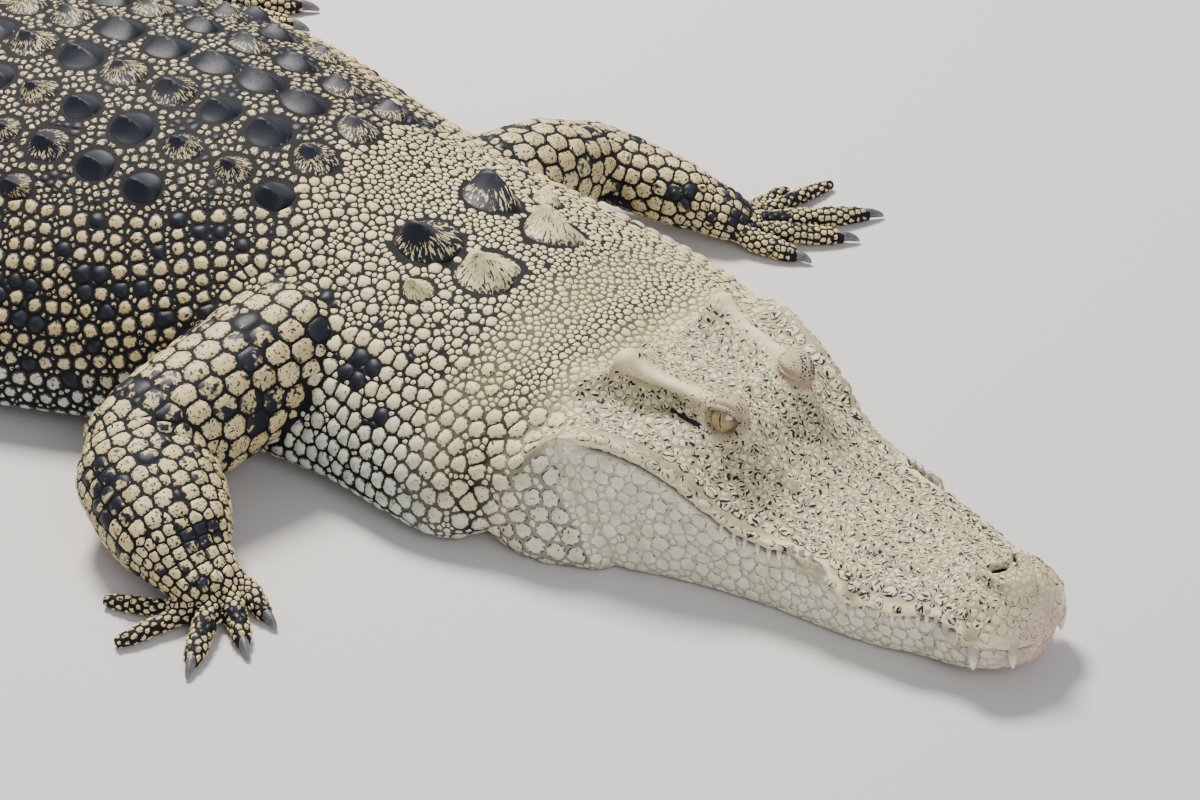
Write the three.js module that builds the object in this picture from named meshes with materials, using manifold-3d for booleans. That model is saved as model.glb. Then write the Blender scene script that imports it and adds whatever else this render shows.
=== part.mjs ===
// A saltwater crocodile lying on its belly, life size, as a museum builds one: head, lower jaw,
// neck, trunk, five lengths of tail, four legs in three parts each, claws and eyes.
// Millimetres. X runs forward along the trunk, Y to the animal's left, Z up from the floor.
import * as THREE from 'three'
import { mergeVertices } from 'three/addons/utils/BufferGeometryUtils.js'
import Module from 'manifold-3d'

const wasm = await Module()
wasm.setup()
const { Manifold } = wasm

// ---- driving sizes -------------------------------------------------------------------------
const BODY_LENGTH = 3600          // snout front to tail tip, along the curve of the back
const SNOUT = [619, -221]         // where the snout front stands, seen from above
const GAP = 0.3                   // clear space left at every cut between two parts
const HEAD_END = 540              // the neck starts this far behind the snout front
const NECK_END = 880              // and the trunk starts here
const TAIL_CUTS = [1760, 2100, 2450, 2800, 3180]
const EYE = { back: 372, out: 56, up: 168, radius: 18 }
const HEAD_RING = 14              // steps down one side of a ring of the head and neck
const TRUNK_RING = 8              // and of the trunk and tail

// A smooth curve through (place, value) stations that never swings past them.
function smoothLine(stations) {
  const t = stations.map((p) => p[0])
  const v = stations.map((p) => p[1])
  const n = t.length
  const gap = []
  const slope = []
  for (let i = 0; i < n - 1; i++) {
    gap.push(t[i + 1] - t[i])
    slope.push((v[i + 1] - v[i]) / gap[i])
  }
  const m = [slope[0]]
  for (let i = 1; i < n - 1; i++) {
    const a = 2 * gap[i] + gap[i - 1]
    const b = gap[i] + 2 * gap[i - 1]
    m.push(slope[i - 1] * slope[i] > 0 ? (a + b) / (a / slope[i - 1] + b / slope[i]) : 0)
  }
  m.push(slope[n - 2])
  return (place) => {
    const x = Math.min(Math.max(place, t[0]), t[n - 1])
    let i = 0
    while (i < n - 2 && x > t[i + 1]) i++
    const h = gap[i]
    const q = (x - t[i]) / h
    return (1 + 2 * q) * (1 - q) ** 2 * v[i] + q * (1 - q) ** 2 * h * m[i]
      + q * q * (3 - 2 * q) * v[i + 1] + q * q * (q - 1) * h * m[i + 1]
  }
}

// ---- the line the body lies along ----------------------------------------------------------
// Turn from straight ahead, in degrees, against distance behind the snout front.
const heading = smoothLine([[0, -14.5], [550, -14.5], [800, -8], [1100, -3.5], [1350, -2.5],
  [1750, -4], [2200, -9], [2700, -18], [3200, -20], [BODY_LENGTH, -14]])
const PATH_STEP = 5
const path = [{ x: SNOUT[0], y: SNOUT[1], turn: heading(0) * Math.PI / 180 }]
for (let s = PATH_STEP; s <= BODY_LENGTH + PATH_STEP; s += PATH_STEP) {
  const last = path[path.length - 1]
  const turn = heading(s) * Math.PI / 180
  const mean = (turn + last.turn) / 2
  path.push({ x: last.x - Math.cos(mean) * PATH_STEP, y: last.y - Math.sin(mean) * PATH_STEP, turn })
}
function centre(s) {
  const k = Math.min(Math.max(s / PATH_STEP, 0), path.length - 2)
  const i = Math.floor(k)
  const q = k - i
  const a = path[i]
  const b = path[i + 1]
  return { x: a.x + (b.x - a.x) * q, y: a.y + (b.y - a.y) * q, turn: a.turn + (b.turn - a.turn) * q }
}
// A point `back` behind the snout front, `out` to the left of the body's line and `up` off the floor.
function place(back, out, up) {
  const c = centre(back)
  const over = Math.min(back, 0)
  return [c.x - Math.sin(c.turn) * out - Math.cos(c.turn) * over,
    c.y + Math.cos(c.turn) * out - Math.sin(c.turn) * over, up]
}

// ---- the head: half widths and heights against distance behind the snout front ---------------
const skullTop = smoothLine([[0, 52], [6, 75], [20, 94], [40, 108], [58, 112], [75, 104], [95, 93],
  [130, 89], [170, 90], [210, 94], [250, 99], [290, 109], [325, 128], [350, 150], [375, 163],
  [400, 172], [440, 174], [480, 176], [510, 180], [540, 180], [600, 187], [700, 200]])
const browOut = smoothLine([[0, 12], [20, 30], [40, 40], [60, 42], [90, 40], [140, 52], [200, 58],
  [260, 54], [300, 50], [330, 50], [352, 53], [375, 61], [395, 62], [420, 64], [460, 71], [495, 77],
  [520, 82], [560, 100], [700, 120]])
const browUp = smoothLine([[0, 50], [20, 80], [40, 94], [60, 98], [90, 86], [140, 82], [200, 86],
  [260, 92], [300, 103], [330, 130], [352, 160], [372, 180], [390, 183], [420, 184], [460, 186],
  [495, 192], [520, 182], [560, 176], [700, 180]])
const templeOut = smoothLine([[0, 18], [20, 45], [40, 58], [60, 64], [85, 60], [140, 80], [200, 85],
  [260, 83], [310, 78], [340, 72], [372, 70], [400, 74], [440, 72], [480, 85], [510, 115],
  [560, 160], [700, 190]])
const templeUp = smoothLine([[0, 52], [20, 68], [40, 78], [60, 82], [85, 78], [140, 74], [200, 82],
  [260, 90], [310, 107], [340, 125], [372, 150], [400, 158], [440, 158], [480, 160], [510, 158],
  [560, 150], [700, 150]])
const cheekOut = smoothLine([[0, 22], [12, 45], [30, 64], [50, 73], [85, 72], [110, 80], [140, 93],
  [180, 99], [220, 100], [260, 104], [300, 112], [340, 120], [380, 126], [420, 136], [460, 148],
  [500, 168], [540, 196], [700, 240]])
const cheekUp = smoothLine([[0, 50], [12, 58], [30, 62], [50, 68], [85, 70], [110, 66], [140, 64],
  [180, 64], [220, 78], [260, 86], [300, 92], [340, 108], [380, 132], [420, 146], [460, 150],
  [500, 146], [540, 130], [700, 110]])
const lipOut = smoothLine([[0, 20], [10, 40], [30, 60], [50, 70], [85, 70], [110, 78], [140, 91],
  [180, 96], [220, 98], [260, 105], [300, 114], [340, 124], [380, 136], [420, 148], [460, 160],
  [500, 178], [540, 204], [700, 252]])
// The mouth line waves: it dips under the big teeth and climbs behind the eye.
const lipUp = smoothLine([[0, 47], [12, 49], [28, 54], [41, 48], [58, 65], [73, 60], [96, 64],
  [112, 60], [132, 57], [147, 61], [173, 48], [188, 61], [203, 66], [215, 80], [250, 82], [270, 76],
  [303, 78], [319, 83], [333, 90], [347, 97], [379, 117], [423, 133], [456, 138], [487, 136],
  [540, 110], [700, 80]])
const jawOut = smoothLine([[0, 16], [12, 38], [30, 56], [60, 68], [100, 74], [140, 86], [180, 94],
  [260, 107], [340, 128], [400, 151], [460, 178], [520, 214], [580, 250], [700, 270]])
const jawUp = smoothLine([[0, 36], [100, 36], [200, 38], [300, 42], [400, 56], [500, 56], [600, 48],
  [700, 45]])
const chinOut = smoothLine([[0, 10], [12, 28], [30, 45], [60, 56], [100, 62], [140, 74], [180, 83],
  [260, 95], [340, 116], [400, 140], [460, 170], [520, 204], [580, 240], [700, 255]])
const chinUp = smoothLine([[0, 24], [30, 15], [80, 7], [150, 2], [200, 0], [700, 0]])
const throatUp = smoothLine([[0, 28], [20, 14], [50, 5], [80, 0], [700, 0]])
const headLines = [[() => 0, skullTop], [browOut, browUp], [templeOut, templeUp],
  [cheekOut, cheekUp], [lipOut, lipUp], [jawOut, jawUp], [chinOut, chinUp], [() => 0, throatUp]]

// ---- the neck, trunk and tail ---------------------------------------------------------------
const halfWidth = smoothLine([[500, 198], [550, 232], [600, 258], [680, 274], [780, 272], [860, 272],
  [960, 290], [1100, 332], [1250, 370], [1400, 368], [1550, 325], [1680, 252], [1800, 190],
  [2000, 145], [2300, 112], [2700, 78], [3100, 48], [3400, 24], [BODY_LENGTH, 4]])
const backUp = smoothLine([[500, 180], [600, 187], [660, 198], [740, 210], [840, 226], [950, 252],
  [1100, 278], [1300, 288], [1500, 280], [1650, 250], [1800, 214], [2000, 185], [2300, 158],
  [2700, 122], [3100, 84], [3400, 46], [BODY_LENGTH, 16]])
const flankUp = smoothLine([[500, 46], [600, 38], [800, 40], [1000, 44], [1200, 48], [1500, 54],
  [1800, 76], [2200, 70], [3000, 42], [BODY_LENGTH, 9]])
const roundTop = smoothLine([[500, 2], [700, 1.8], [900, 1.85], [1300, 1.9], [1700, 2.05], [2200, 2]])
const roundLow = smoothLine([[500, 2.8], [900, 2.9], [1200, 3.4], [1500, 3.4], [2000, 2.4],
  [BODY_LENGTH, 2]])
const BELLY_SAG = 1.12            // the belly would hang this much lower; the floor flattens it

function headPoint(s, share) {
  const k = share * (headLines.length - 1)
  const i = Math.min(Math.floor(k), headLines.length - 2)
  const q = k - i
  const get = (j) => {
    const line = headLines[Math.abs(j) > 7 ? 14 - j : Math.abs(j)]
    const mirror = j < 0 || j > 7 ? -1 : 1
    return [mirror * line[0](s), line[1](s)]
  }
  const [a, b, c, d] = [get(i - 1), get(i), get(i + 1), get(i + 2)]
  return [0, 1].map((n) => 0.5 * (2 * b[n] + (c[n] - a[n]) * q
    + (2 * a[n] - 5 * b[n] + 4 * c[n] - d[n]) * q * q
    + (3 * b[n] - a[n] - 3 * c[n] + d[n]) * q ** 3))
}
function trunkPoint(s, share) {
  const turn = share * Math.PI
  const up = Math.cos(turn)
  const power = 2 / (up >= 0 ? roundTop(s) : roundLow(s))
  const middle = flankUp(s)
  const reach = up >= 0 ? backUp(s) - middle : middle * BELLY_SAG
  return [halfWidth(s) * Math.sin(turn) ** power, middle + Math.sign(up) * reach * Math.abs(up) ** power]
}
// Half a ring at s: share 0 is the middle of the back, 1 the middle of the belly.
function skinPoint(s, share) {
  let q = Math.min(Math.max((s - 500) / 120, 0), 1)
  q = q * q * (3 - 2 * q)
  const head = q < 1 ? headPoint(s, share) : [0, 0]
  const trunk = q > 0 ? trunkPoint(Math.max(s, 500), share) : [0, 0]
  return [head[0] * (1 - q) + trunk[0] * q, Math.max(head[1] * (1 - q) + trunk[1] * q, 0)]
}

// ---- making closed bodies ---------------------------------------------------------------------
// Joins rings of equal length into a closed body, a fan at each end.
function loft(rings) {
  const n = rings[0].length
  const verts = rings.flat()
  const faces = []
  for (let r = 0; r < rings.length - 1; r++) {
    for (let k = 0; k < n; k++) {
      const a = r * n + k
      const b = r * n + (k + 1) % n
      faces.push([a, b, a + n], [b, b + n, a + n])
    }
  }
  for (const [start, flip] of [[0, true], [(rings.length - 1) * n, false]]) {
    const mid = [0, 1, 2].map((axis) => {
      let sum = 0
      for (let k = 0; k < n; k++) sum += verts[start + k][axis]
      return sum / n
    })
    verts.push(mid)
    for (let k = 0; k < n; k++) {
      const face = [start + k, start + (k + 1) % n, verts.length - 1]
      faces.push(flip ? [face[1], face[0], face[2]] : face)
    }
  }
  let volume = 0
  for (const [a, b, c] of faces) {
    const [p, q, r] = [verts[a], verts[b], verts[c]]
    volume += p[0] * (q[1] * r[2] - q[2] * r[1]) - p[1] * (q[0] * r[2] - q[2] * r[0])
      + p[2] * (q[0] * r[1] - q[1] * r[0])
  }
  const out = volume < 0 ? faces.map(([a, b, c]) => [a, c, b]) : faces
  const mesh = new wasm.Mesh({
    numProp: 3, vertProperties: new Float32Array(verts.flat()), triVerts: new Uint32Array(out.flat()),
  })
  mesh.merge()
  return new Manifold(mesh)
}
// A ring of the body at s, in `steps` down each side, grown outward by `grow`.
function bodyRing(s, steps, grow = 0) {
  const half = []
  for (let k = 0; k <= steps; k++) {
    const [out, up] = skinPoint(s, k / steps)
    const length = Math.hypot(out, up - flankUp(s)) || 1
    half.push([out * (1 + grow / length), up + (up - flankUp(s)) * grow / length])
  }
  const right = half.slice(1, steps).reverse().map(([out, up]) => place(s, -out, up))
  return [...half.map(([out, up]) => place(s, out, up)), ...right]
}
function stations(from, to, count) {
  return Array.from({ length: count + 1 }, (_, k) => from + (to - from) * k / count)
}
const headStations = [1, 8, 22, 42, 58, 76, 96, 120, 146, 173, 215, 250, 290, 330, 352, 374,
  402, 440, 495, HEAD_END]
const neckStations = [590, 670, 760, NECK_END - 20]
const trunkStations = [960, 1060, 1170, 1290, 1410, 1520, 1620, 1700, TAIL_CUTS[0],
  ...stations(1860, BODY_LENGTH - 2, 12)]
const LAP = 30                    // how far the two lofts of the body reach past their meeting
const MOUTH = 8                   // the step of a head ring that lies on the mouth line
function neck() {
  const places = [HEAD_END - LAP, HEAD_END, ...neckStations, NECK_END + LAP]
  return loft(places.map((s) => bodyRing(s, HEAD_RING)))
}
// The half of the head above the mouth line (steps 0 to MOUTH) or below it.
function headHalf(from, to, lift) {
  return loft([...headStations, HEAD_END + LAP].map((s) => {
    const half = []
    for (let k = from; k <= to; k++) {
      const [out, up] = skinPoint(s, k / HEAD_RING)
      half.push([out, k === MOUTH ? up + lift : up])
    }
    const right = half.filter(([out]) => Math.abs(out) > 1e-6).reverse()
    return [...half.map(([out, up]) => place(s, out, up)), ...right.map(([out, up]) => place(s, -out, up))]
  }))
}
function trunkAndTail() {
  const places = [NECK_END - LAP, ...trunkStations]
  return loft(places.map((s) => bodyRing(s, TRUNK_RING)))
}
// The body a little grown where the legs meet it, to cut them clear.
function bodyRoom() {
  const fore = [...neckStations.slice(1), NECK_END + LAP].map((s) => bodyRing(s, HEAD_RING, GAP))
  const rear = [NECK_END - LAP, ...trunkStations.slice(0, 10)].map((s) => bodyRing(s, TRUNK_RING, GAP))
  return Manifold.union([loft(fore), loft(rear)])
}

// The plane across the body's line at s: everything behind it, or everything ahead of it.
function acrossPlane(s, behind) {
  const c = centre(s)
  const forward = [Math.cos(c.turn), Math.sin(c.turn)]
  const side = behind ? -1 : 1
  const normal = [forward[0] * side, forward[1] * side, 0]
  return [normal, (c.x * normal[0] + c.y * normal[1]) + GAP / 2]
}
function length(solid, from, to) {
  let piece = solid
  if (from !== null) piece = piece.trimByPlane(...acrossPlane(from, true))
  if (to !== null) piece = piece.trimByPlane(...acrossPlane(to, false))
  return piece
}
// ---- tapering rods: limbs, toes, claws and teeth ------------------------------------------------
// Each stop is { at: [x, y, z], wide, tall }: half sizes level and upright across the rod.
function rod(stops, sides, power = 2) {
  const rings = stops.map((stop, i) => {
    const before = stops[Math.max(i - 1, 0)].at
    const after = stops[Math.min(i + 1, stops.length - 1)].at
    const course = new THREE.Vector3(after[0] - before[0], after[1] - before[1], after[2] - before[2])
    course.normalize()
    const level = new THREE.Vector3(0, 0, 1).cross(course).normalize()
    const upright = course.clone().cross(level)
    return Array.from({ length: sides }, (_, k) => {
      const turn = (k + 0.5) / sides * 2 * Math.PI
      const a = Math.sign(Math.cos(turn)) * Math.abs(Math.cos(turn)) ** (2 / power) * stop.wide
      const b = Math.sign(Math.sin(turn)) * Math.abs(Math.sin(turn)) ** (2 / power) * stop.tall
      return ['x', 'y', 'z'].map((axis, n) => stop.at[n] + level[axis] * a + upright[axis] * b)
    })
  })
  return loft(rings)
}
const floorTrim = (solid) => solid.trimByPlane([0, 0, 1], 0)
const along = (p, q, share) => p.map((v, n) => v + (q[n] - v) * share)

// ---- teeth ---------------------------------------------------------------------------------------
// A tooth stands at the mouth line: `down` teeth grow from the head, the others from the jaw.
function tooth(back, side, size, down, grow = 0) {
  const way = down ? -1 : 1
  const out = lipOut(back) - (down ? 4 : 6)
  const thick = size * 0.27 + 1.2 + grow
  return rod([
    { at: place(back, side * (out - 3), lipUp(back) - way * (9 + grow)), wide: thick, tall: thick },
    { at: place(back - 2, side * (out + 4), lipUp(back) + way * (size + grow)),
      wide: 1 + grow, tall: 1 + grow },
  ], 5)
}
const UPPER_TEETH = [[12, 20], [41, 24], [114, 12], [173, 15]]
const LOWER_TEETH = [[76, 19]]

// ---- the legs --------------------------------------------------------------------------------------
// joints run shoulder, elbow, wrist, knuckles; each toe is [tip x, tip y, length of claw].
const LEGS = {
  right_fore: {
    joints: [[-262, -190, 118], [-330, -418, 80], [-218, -505, 48], [-176, -518, 28]],
    thick: [[74, 76], [68, 66], [76, 60], [58, 46], [44, 26]],
    palm: [-170, -520, 22],
    toes: [[-95, -522, 22], [-94, -577, 24], [-131, -632, 24], [-224, -622, 0], [-275, -568, 0]],
    toeThick: 12.5,
  },
  left_fore: {
    joints: [[-238, 172, 112], [-195, 350, 78], [-58, 368, 44], [-18, 382, 26]],
    thick: [[62, 70], [50, 50], [44, 44], [38, 36], [42, 25]],
    palm: [-12, 388, 22],
    toes: [[89, 368, 22], [119, 440, 24], [121, 506, 24], [36, 540, 0], [-6, 500, 0]],
    toeThick: 12.5,
  },
  left_hind: {
    joints: [[-985, 150, 128], [-868, 398, 92], [-1010, 506, 52], [-930, 560, 28]],
    thick: [[88, 92], [76, 78], [60, 58], [44, 44], [58, 26]],
    palm: [-920, 566, 24],
    toes: [[-743, 578, 26], [-762, 634, 28], [-800, 690, 28], [-868, 716, 0]],
    toeThick: 15,
  },
  right_hind: {
    joints: [[-1010, -100, 128], [-925, -352, 92], [-1082, -446, 52], [-1010, -508, 28]],
    thick: [[88, 92], [76, 78], [60, 58], [44, 44], [58, 26]],
    palm: [-1000, -514, 24],
    toes: [[-826, -546, 26], [-852, -602, 28], [-896, -650, 28], [-964, -668, 0]],
    toeThick: 15,
  },
}

function leg(shape) {
  const [hip, knee, wrist, knuckles] = shape.joints
  const sizes = shape.thick
  const size = (i, grow = 1) => ({ wide: sizes[i][0] * grow, tall: sizes[i][1] * grow })
  // the bend at the knee is too sharp for one rod, so two rods overlap there
  const upper = rod([
    { at: hip, ...size(0) },
    { at: along(hip, knee, 0.5), ...size(0, 0.97) },
    { at: along(hip, knee, 0.85), ...size(1, 1.03) },
    { at: along(hip, knee, 1.1), ...size(1, 0.84) },
  ], 10, 2.2)
  const lower = rod([
    { at: along(knee, wrist, -0.08), ...size(1, 0.84) },
    { at: along(knee, wrist, 0.2), ...size(2, 1.0) },
    { at: along(knee, wrist, 0.55), ...size(2, 0.96) },
    { at: wrist, ...size(3) },
  ], 10, 2.2)
  const palm = rod([
    { at: along(wrist, knee, 0.06), ...size(3, 0.96) },
    { at: along(wrist, knuckles, 0.7), ...size(4) },
    { at: along(knuckles, wrist, -0.25), ...size(4, 0.8) },
  ], 10, 2.2)
  const toes = []
  const claws = []
  const clawRooms = []
  shape.toes.forEach(([tipX, tipY, claw], i) => {
    const count = shape.toes.length
    const thick = shape.toeThick * (claw ? 1 : 0.8)
    const across = (i / (count - 1) - 0.5) * 1.5 * sizes[4][0]
    const wayX = shape.palm[0] - wrist[0]
    const wayY = shape.palm[1] - wrist[1]
    const way = Math.hypot(wayX, wayY)
    const turnSide = Math.sign((shape.toes[count - 1][0] - shape.toes[0][0]) * -wayY
      + (shape.toes[count - 1][1] - shape.toes[0][1]) * wayX)
    const root = [shape.palm[0] - wayY / way * across * turnSide,
      shape.palm[1] + wayX / way * across * turnSide, shape.palm[2]]
    const full = Math.hypot(tipX - root[0], tipY - root[1])
    const nail = claw ? 1 - (claw - 4) / full : 0.97
    const point = (share, up) => [root[0] + (tipX - root[0]) * share,
      root[1] + (tipY - root[1]) * share, up]
    toes.push(rod([
      { at: along(point(0, root[2]), wrist, 0.2), wide: thick * 1.1, tall: thick * 1.0 },
      { at: point(0.3, thick * 1.2), wide: thick * 1.15, tall: thick * 1.1 },
      { at: point(nail * 0.92, thick * 0.7), wide: thick * 0.9, tall: thick * 0.86 },
      { at: point(nail, thick * 0.62), wide: thick * 0.56, tall: thick * 0.56 },
    ], 6))
    if (claw) {
      const nailRod = (from, grow) => rod([
        { at: point(from, thick * 0.62), wide: thick * 0.5 + grow, tall: thick * 0.52 + grow },
        { at: point(0.5 + from / 2, thick * 0.58), wide: thick * 0.4 + grow, tall: thick * 0.44 + grow },
        { at: point(1 + grow / full, thick * 0.22), wide: 1.4 + grow, tall: 1.4 + grow },
      ], 6)
      claws.push(nailRod(nail + GAP / full, 0))
      clawRooms.push(nailRod(nail, GAP))
    }
  })
  const whole = floorTrim(Manifold.union([upper, lower, palm, ...toes]).subtract(Manifold.union(clawRooms)))
  return { whole, claws: claws.map(floorTrim), joints: shape.joints }
}
// Parts a leg at its knee (or elbow) and wrist (or ankle) with planes across it.
function partLeg({ whole, joints }) {
  const [hip, knee, wrist, knuckles] = joints.map((p) => new THREE.Vector3(...p))
  const cut = (solid, at, before, after, keepAfter) => {
    const way = after.clone().sub(at).normalize().add(at.clone().sub(before).normalize())
    way.z = 0
    way.normalize().multiplyScalar(keepAfter ? 1 : -1)
    return solid.trimByPlane([way.x, way.y, way.z], at.dot(way) + GAP / 2)
  }
  const kneeTo = new THREE.Vector3().lerpVectors(knee, wrist, 0.5)
  const hipTo = new THREE.Vector3().lerpVectors(hip, knee, 0.5)
  // the knee is cut along the plane that halves its bend
  const bend = hipTo.clone().sub(knee).normalize().sub(kneeTo.clone().sub(knee).normalize())
  bend.z = 0
  bend.normalize()
  const kneeCut = (solid, keepUpper) => {
    const n = bend.clone().multiplyScalar(keepUpper ? 1 : -1)
    return solid.trimByPlane([n.x, n.y, n.z], knee.dot(n) + GAP / 2)
  }
  const foot = cut(whole, wrist, knee, knuckles, true)
  const rest = cut(whole, wrist, knee, knuckles, false)
  return { upper: kneeCut(rest, true), lower: kneeCut(rest, false), foot }
}

// ---- the tail's crest --------------------------------------------------------------------------------
// Two rows of upright blades run from the hips and close into one row for the rear half.
function blade(s, out, pitch, height) {
  const turn = Math.abs(out) / Math.max(halfWidth(s), 1) * 0.32
  const base = (back) => Math.max(skinPoint(back, turn)[1], 0)
  const foot = Math.min(14, base(s) * 0.5)
  const front = s - pitch * 0.62
  const rear = s + pitch * 0.36
  const thick = 2 + height * 0.07
  const line = [[front, base(front) - foot, thick], [s + pitch * 0.26, base(s) + height, 1.2],
    [rear, base(rear) - foot, thick]]
  return loft([-1, 1].map((side) => line.map(([back, up, half]) => place(back, out + side * half, up))))
}
const crestHeight = smoothLine([[1750, 14], [2000, 26], [2350, 40], [2700, 52], [3100, 50], [3400, 38],
  [BODY_LENGTH, 16]])
const rowOut = smoothLine([[1700, 56], [2000, 40], [2200, 24], [2380, 9]])
function crest() {
  const blades = []
  for (let s = 1795; s < 2370; s += 64) {
    for (const side of [-1, 1]) blades.push(blade(s, side * rowOut(s), 66, crestHeight(s)))
  }
  for (let s = 2410; s < BODY_LENGTH - 25; s += 66) blades.push(blade(s, 0, 70, crestHeight(s)))
  return blades
}

// ---- putting the animal together -----------------------------------------------------------------------
const grown = bodyRoom()
const eyes = [-1, 1].map((side) => {
  const at = place(EYE.back, side * EYE.out, EYE.up)
  return { at, ball: Manifold.sphere(EYE.radius, 12).translate(at),
    socket: Manifold.sphere(EYE.radius + GAP, 12).translate(at) }
})
const teeth = (list, down, grow = 0) => Manifold.union(list.flatMap(([back, size]) => (
  [-1, 1].map((side) => tooth(back, side, size, down, grow)))))

const legs = Object.fromEntries(Object.entries(LEGS).map(([name, shape]) => [name, leg(shape)]))
const toHead = (solid) => length(solid, null, HEAD_END)
const headSolid = toHead(headHalf(0, MOUTH, GAP / 2)).add(teeth(UPPER_TEETH, true))
  .subtract(teeth(LOWER_TEETH, false, GAP)).subtract(Manifold.union(eyes.map((eye) => eye.socket)))
const jawSolid = toHead(headHalf(MOUTH, HEAD_RING, -GAP / 2)).add(teeth(LOWER_TEETH, false))
  .subtract(teeth(UPPER_TEETH, true, GAP))
const withCrest = Manifold.union([length(trunkAndTail(), NECK_END, null), ...crest()])

const COLOURS = { skin: 0xb9ad86, claw: 0x55565a, eye: 0xa98a3c }
const croc = new THREE.Group()
croc.name = 'saltwater_crocodile'
const parts = []
function addPart(name, solid, colour, roughness) {
  parts.push({ name, solid, colour, roughness })
}
addPart('head', headSolid, COLOURS.skin, 0.7)
addPart('lower_jaw', floorTrim(jawSolid), COLOURS.skin, 0.7)
addPart('neck', length(neck(), HEAD_END, NECK_END), COLOURS.skin, 0.7)
addPart('trunk', length(withCrest, NECK_END, TAIL_CUTS[0]), COLOURS.skin, 0.7)
TAIL_CUTS.forEach((from, i) => {
  addPart(`tail_length_${i + 1}`, length(withCrest, from, TAIL_CUTS[i + 1] ?? null), COLOURS.skin, 0.7)
})
const partNames = { fore: ['upper_arm', 'forearm', 'hand'], hind: ['thigh', 'shank', 'foot'] }
for (const [name, limb] of Object.entries(legs)) {
  const [side, kind] = name.split('_')
  const { upper, lower, foot } = partLeg(limb)
  addPart(`${side}_${partNames[kind][0]}`, upper.subtract(grown), COLOURS.skin, 0.7)
  addPart(`${side}_${partNames[kind][1]}`, lower.subtract(grown), COLOURS.skin, 0.7)
  addPart(`${side}_${partNames[kind][2]}`, foot.subtract(grown), COLOURS.skin, 0.7)
  limb.claws.forEach((claw, i) => addPart(`${side}_${kind}_claw_${i + 1}`, claw, COLOURS.claw, 0.4))
}
eyes.forEach((eye, i) => addPart(i ? 'left_eye' : 'right_eye', eye.ball, COLOURS.eye, 0.1))

// The origin goes to the middle of the floor under the whole animal.
const box = new THREE.Box3()
for (const { solid } of parts) {
  const { min, max } = solid.boundingBox()
  box.expandByPoint(new THREE.Vector3(...min))
  box.expandByPoint(new THREE.Vector3(...max))
}
const middle = box.getCenter(new THREE.Vector3())
// Where a cut leaves several shells, the part is the largest of them. Edges shorter than a tenth of a
// millimetre are drawn together.
function biggest(solid) {
  return solid.decompose().reduce((best, piece) => (piece.volume() > best.volume() ? piece : best))
}
for (const { name, solid, colour, roughness } of parts) {
  const mesh = biggest(solid).simplify(0.1).translate([-middle.x, -middle.y, -box.min.z]).getMesh()
  let geometry = new THREE.BufferGeometry()
  geometry.setAttribute('position', new THREE.BufferAttribute(new Float32Array(mesh.vertProperties), 3))
  geometry.setIndex(new THREE.BufferAttribute(new Uint32Array(mesh.triVerts), 1))
  geometry = mergeVertices(geometry)
  const node = new THREE.Mesh(geometry, new THREE.MeshStandardMaterial({ color: colour, roughness }))
  node.name = name
  croc.add(node)
}
export default croc
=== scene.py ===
# %% [markdown]
# A saltwater crocodile, life size, lying on its belly. This notebook dresses the plain solids of
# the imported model: one skin is laid over all the parts of flesh, thousands of scales are set on
# that skin, and the eyes, teeth and claws get their own shapes and finishes. Everything is in
# metres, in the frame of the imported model: +X forward, +Y to the animal's left, +Z up.

# %% Load the frame
import math
import bpy
import numpy as np
from mathutils import Matrix, Vector, noise
from mathutils.bvhtree import BVHTree
from mathutils.kdtree import KDTree


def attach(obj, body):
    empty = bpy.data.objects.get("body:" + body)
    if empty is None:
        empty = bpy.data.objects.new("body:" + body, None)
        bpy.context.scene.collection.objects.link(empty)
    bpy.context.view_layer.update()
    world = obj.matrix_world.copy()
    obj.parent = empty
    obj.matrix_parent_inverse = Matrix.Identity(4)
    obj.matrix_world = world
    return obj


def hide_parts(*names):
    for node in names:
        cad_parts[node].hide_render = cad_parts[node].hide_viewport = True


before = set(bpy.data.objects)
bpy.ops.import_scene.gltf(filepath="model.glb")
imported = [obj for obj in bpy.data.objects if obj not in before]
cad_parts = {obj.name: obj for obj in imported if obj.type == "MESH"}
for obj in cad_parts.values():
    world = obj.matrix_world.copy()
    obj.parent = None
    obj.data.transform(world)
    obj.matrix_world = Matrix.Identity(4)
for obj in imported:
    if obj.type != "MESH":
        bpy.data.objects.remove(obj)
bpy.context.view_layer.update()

# %% [markdown]
# The shape of an animal is easiest to state as a few smooth lines: how wide it is, how high its
# back is, and where each lip, brow and cheek runs, all against the distance behind the snout. A
# cubic curve that never swings past its stations keeps each line free of bumps.

# %% A smooth line through stations
def smooth_line(stations):
    """A smooth function through (place, value) pairs that never swings past them."""
    t = np.array([p for p, _ in stations], float)
    v = np.array([q for _, q in stations], float)
    gap = np.diff(t)
    slope = np.diff(v) / gap
    m = np.zeros(len(t))
    same = slope[:-1] * slope[1:] > 0
    a, b = 2 * gap[1:] + gap[:-1], gap[1:] + 2 * gap[:-1]
    with np.errstate(divide="ignore", invalid="ignore"):
        m[1:-1] = np.where(same, (a + b) / (a / slope[:-1] + b / slope[1:]), 0)
    m[0], m[-1] = slope[0], slope[-1]
    def at(x):
        x = np.clip(np.asarray(x, float), t[0], t[-1])
        i = np.clip(np.searchsorted(t, x, side="right") - 1, 0, len(t) - 2)
        h, q = gap[i], (x - t[i]) / gap[i]
        return ((1 + 2 * q) * (1 - q) ** 2 * v[i] + q * (1 - q) ** 2 * h * m[i]
                + q * q * (3 - 2 * q) * v[i + 1] + q * q * (q - 1) * h * m[i + 1])
    return at

def ease(x, low, high):
    """0 below low, 1 above high, and a smooth ramp between."""
    q = np.clip((np.asarray(x, float) - low) / (high - low), 0, 1)
    return q * q * (3 - 2 * q)

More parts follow.
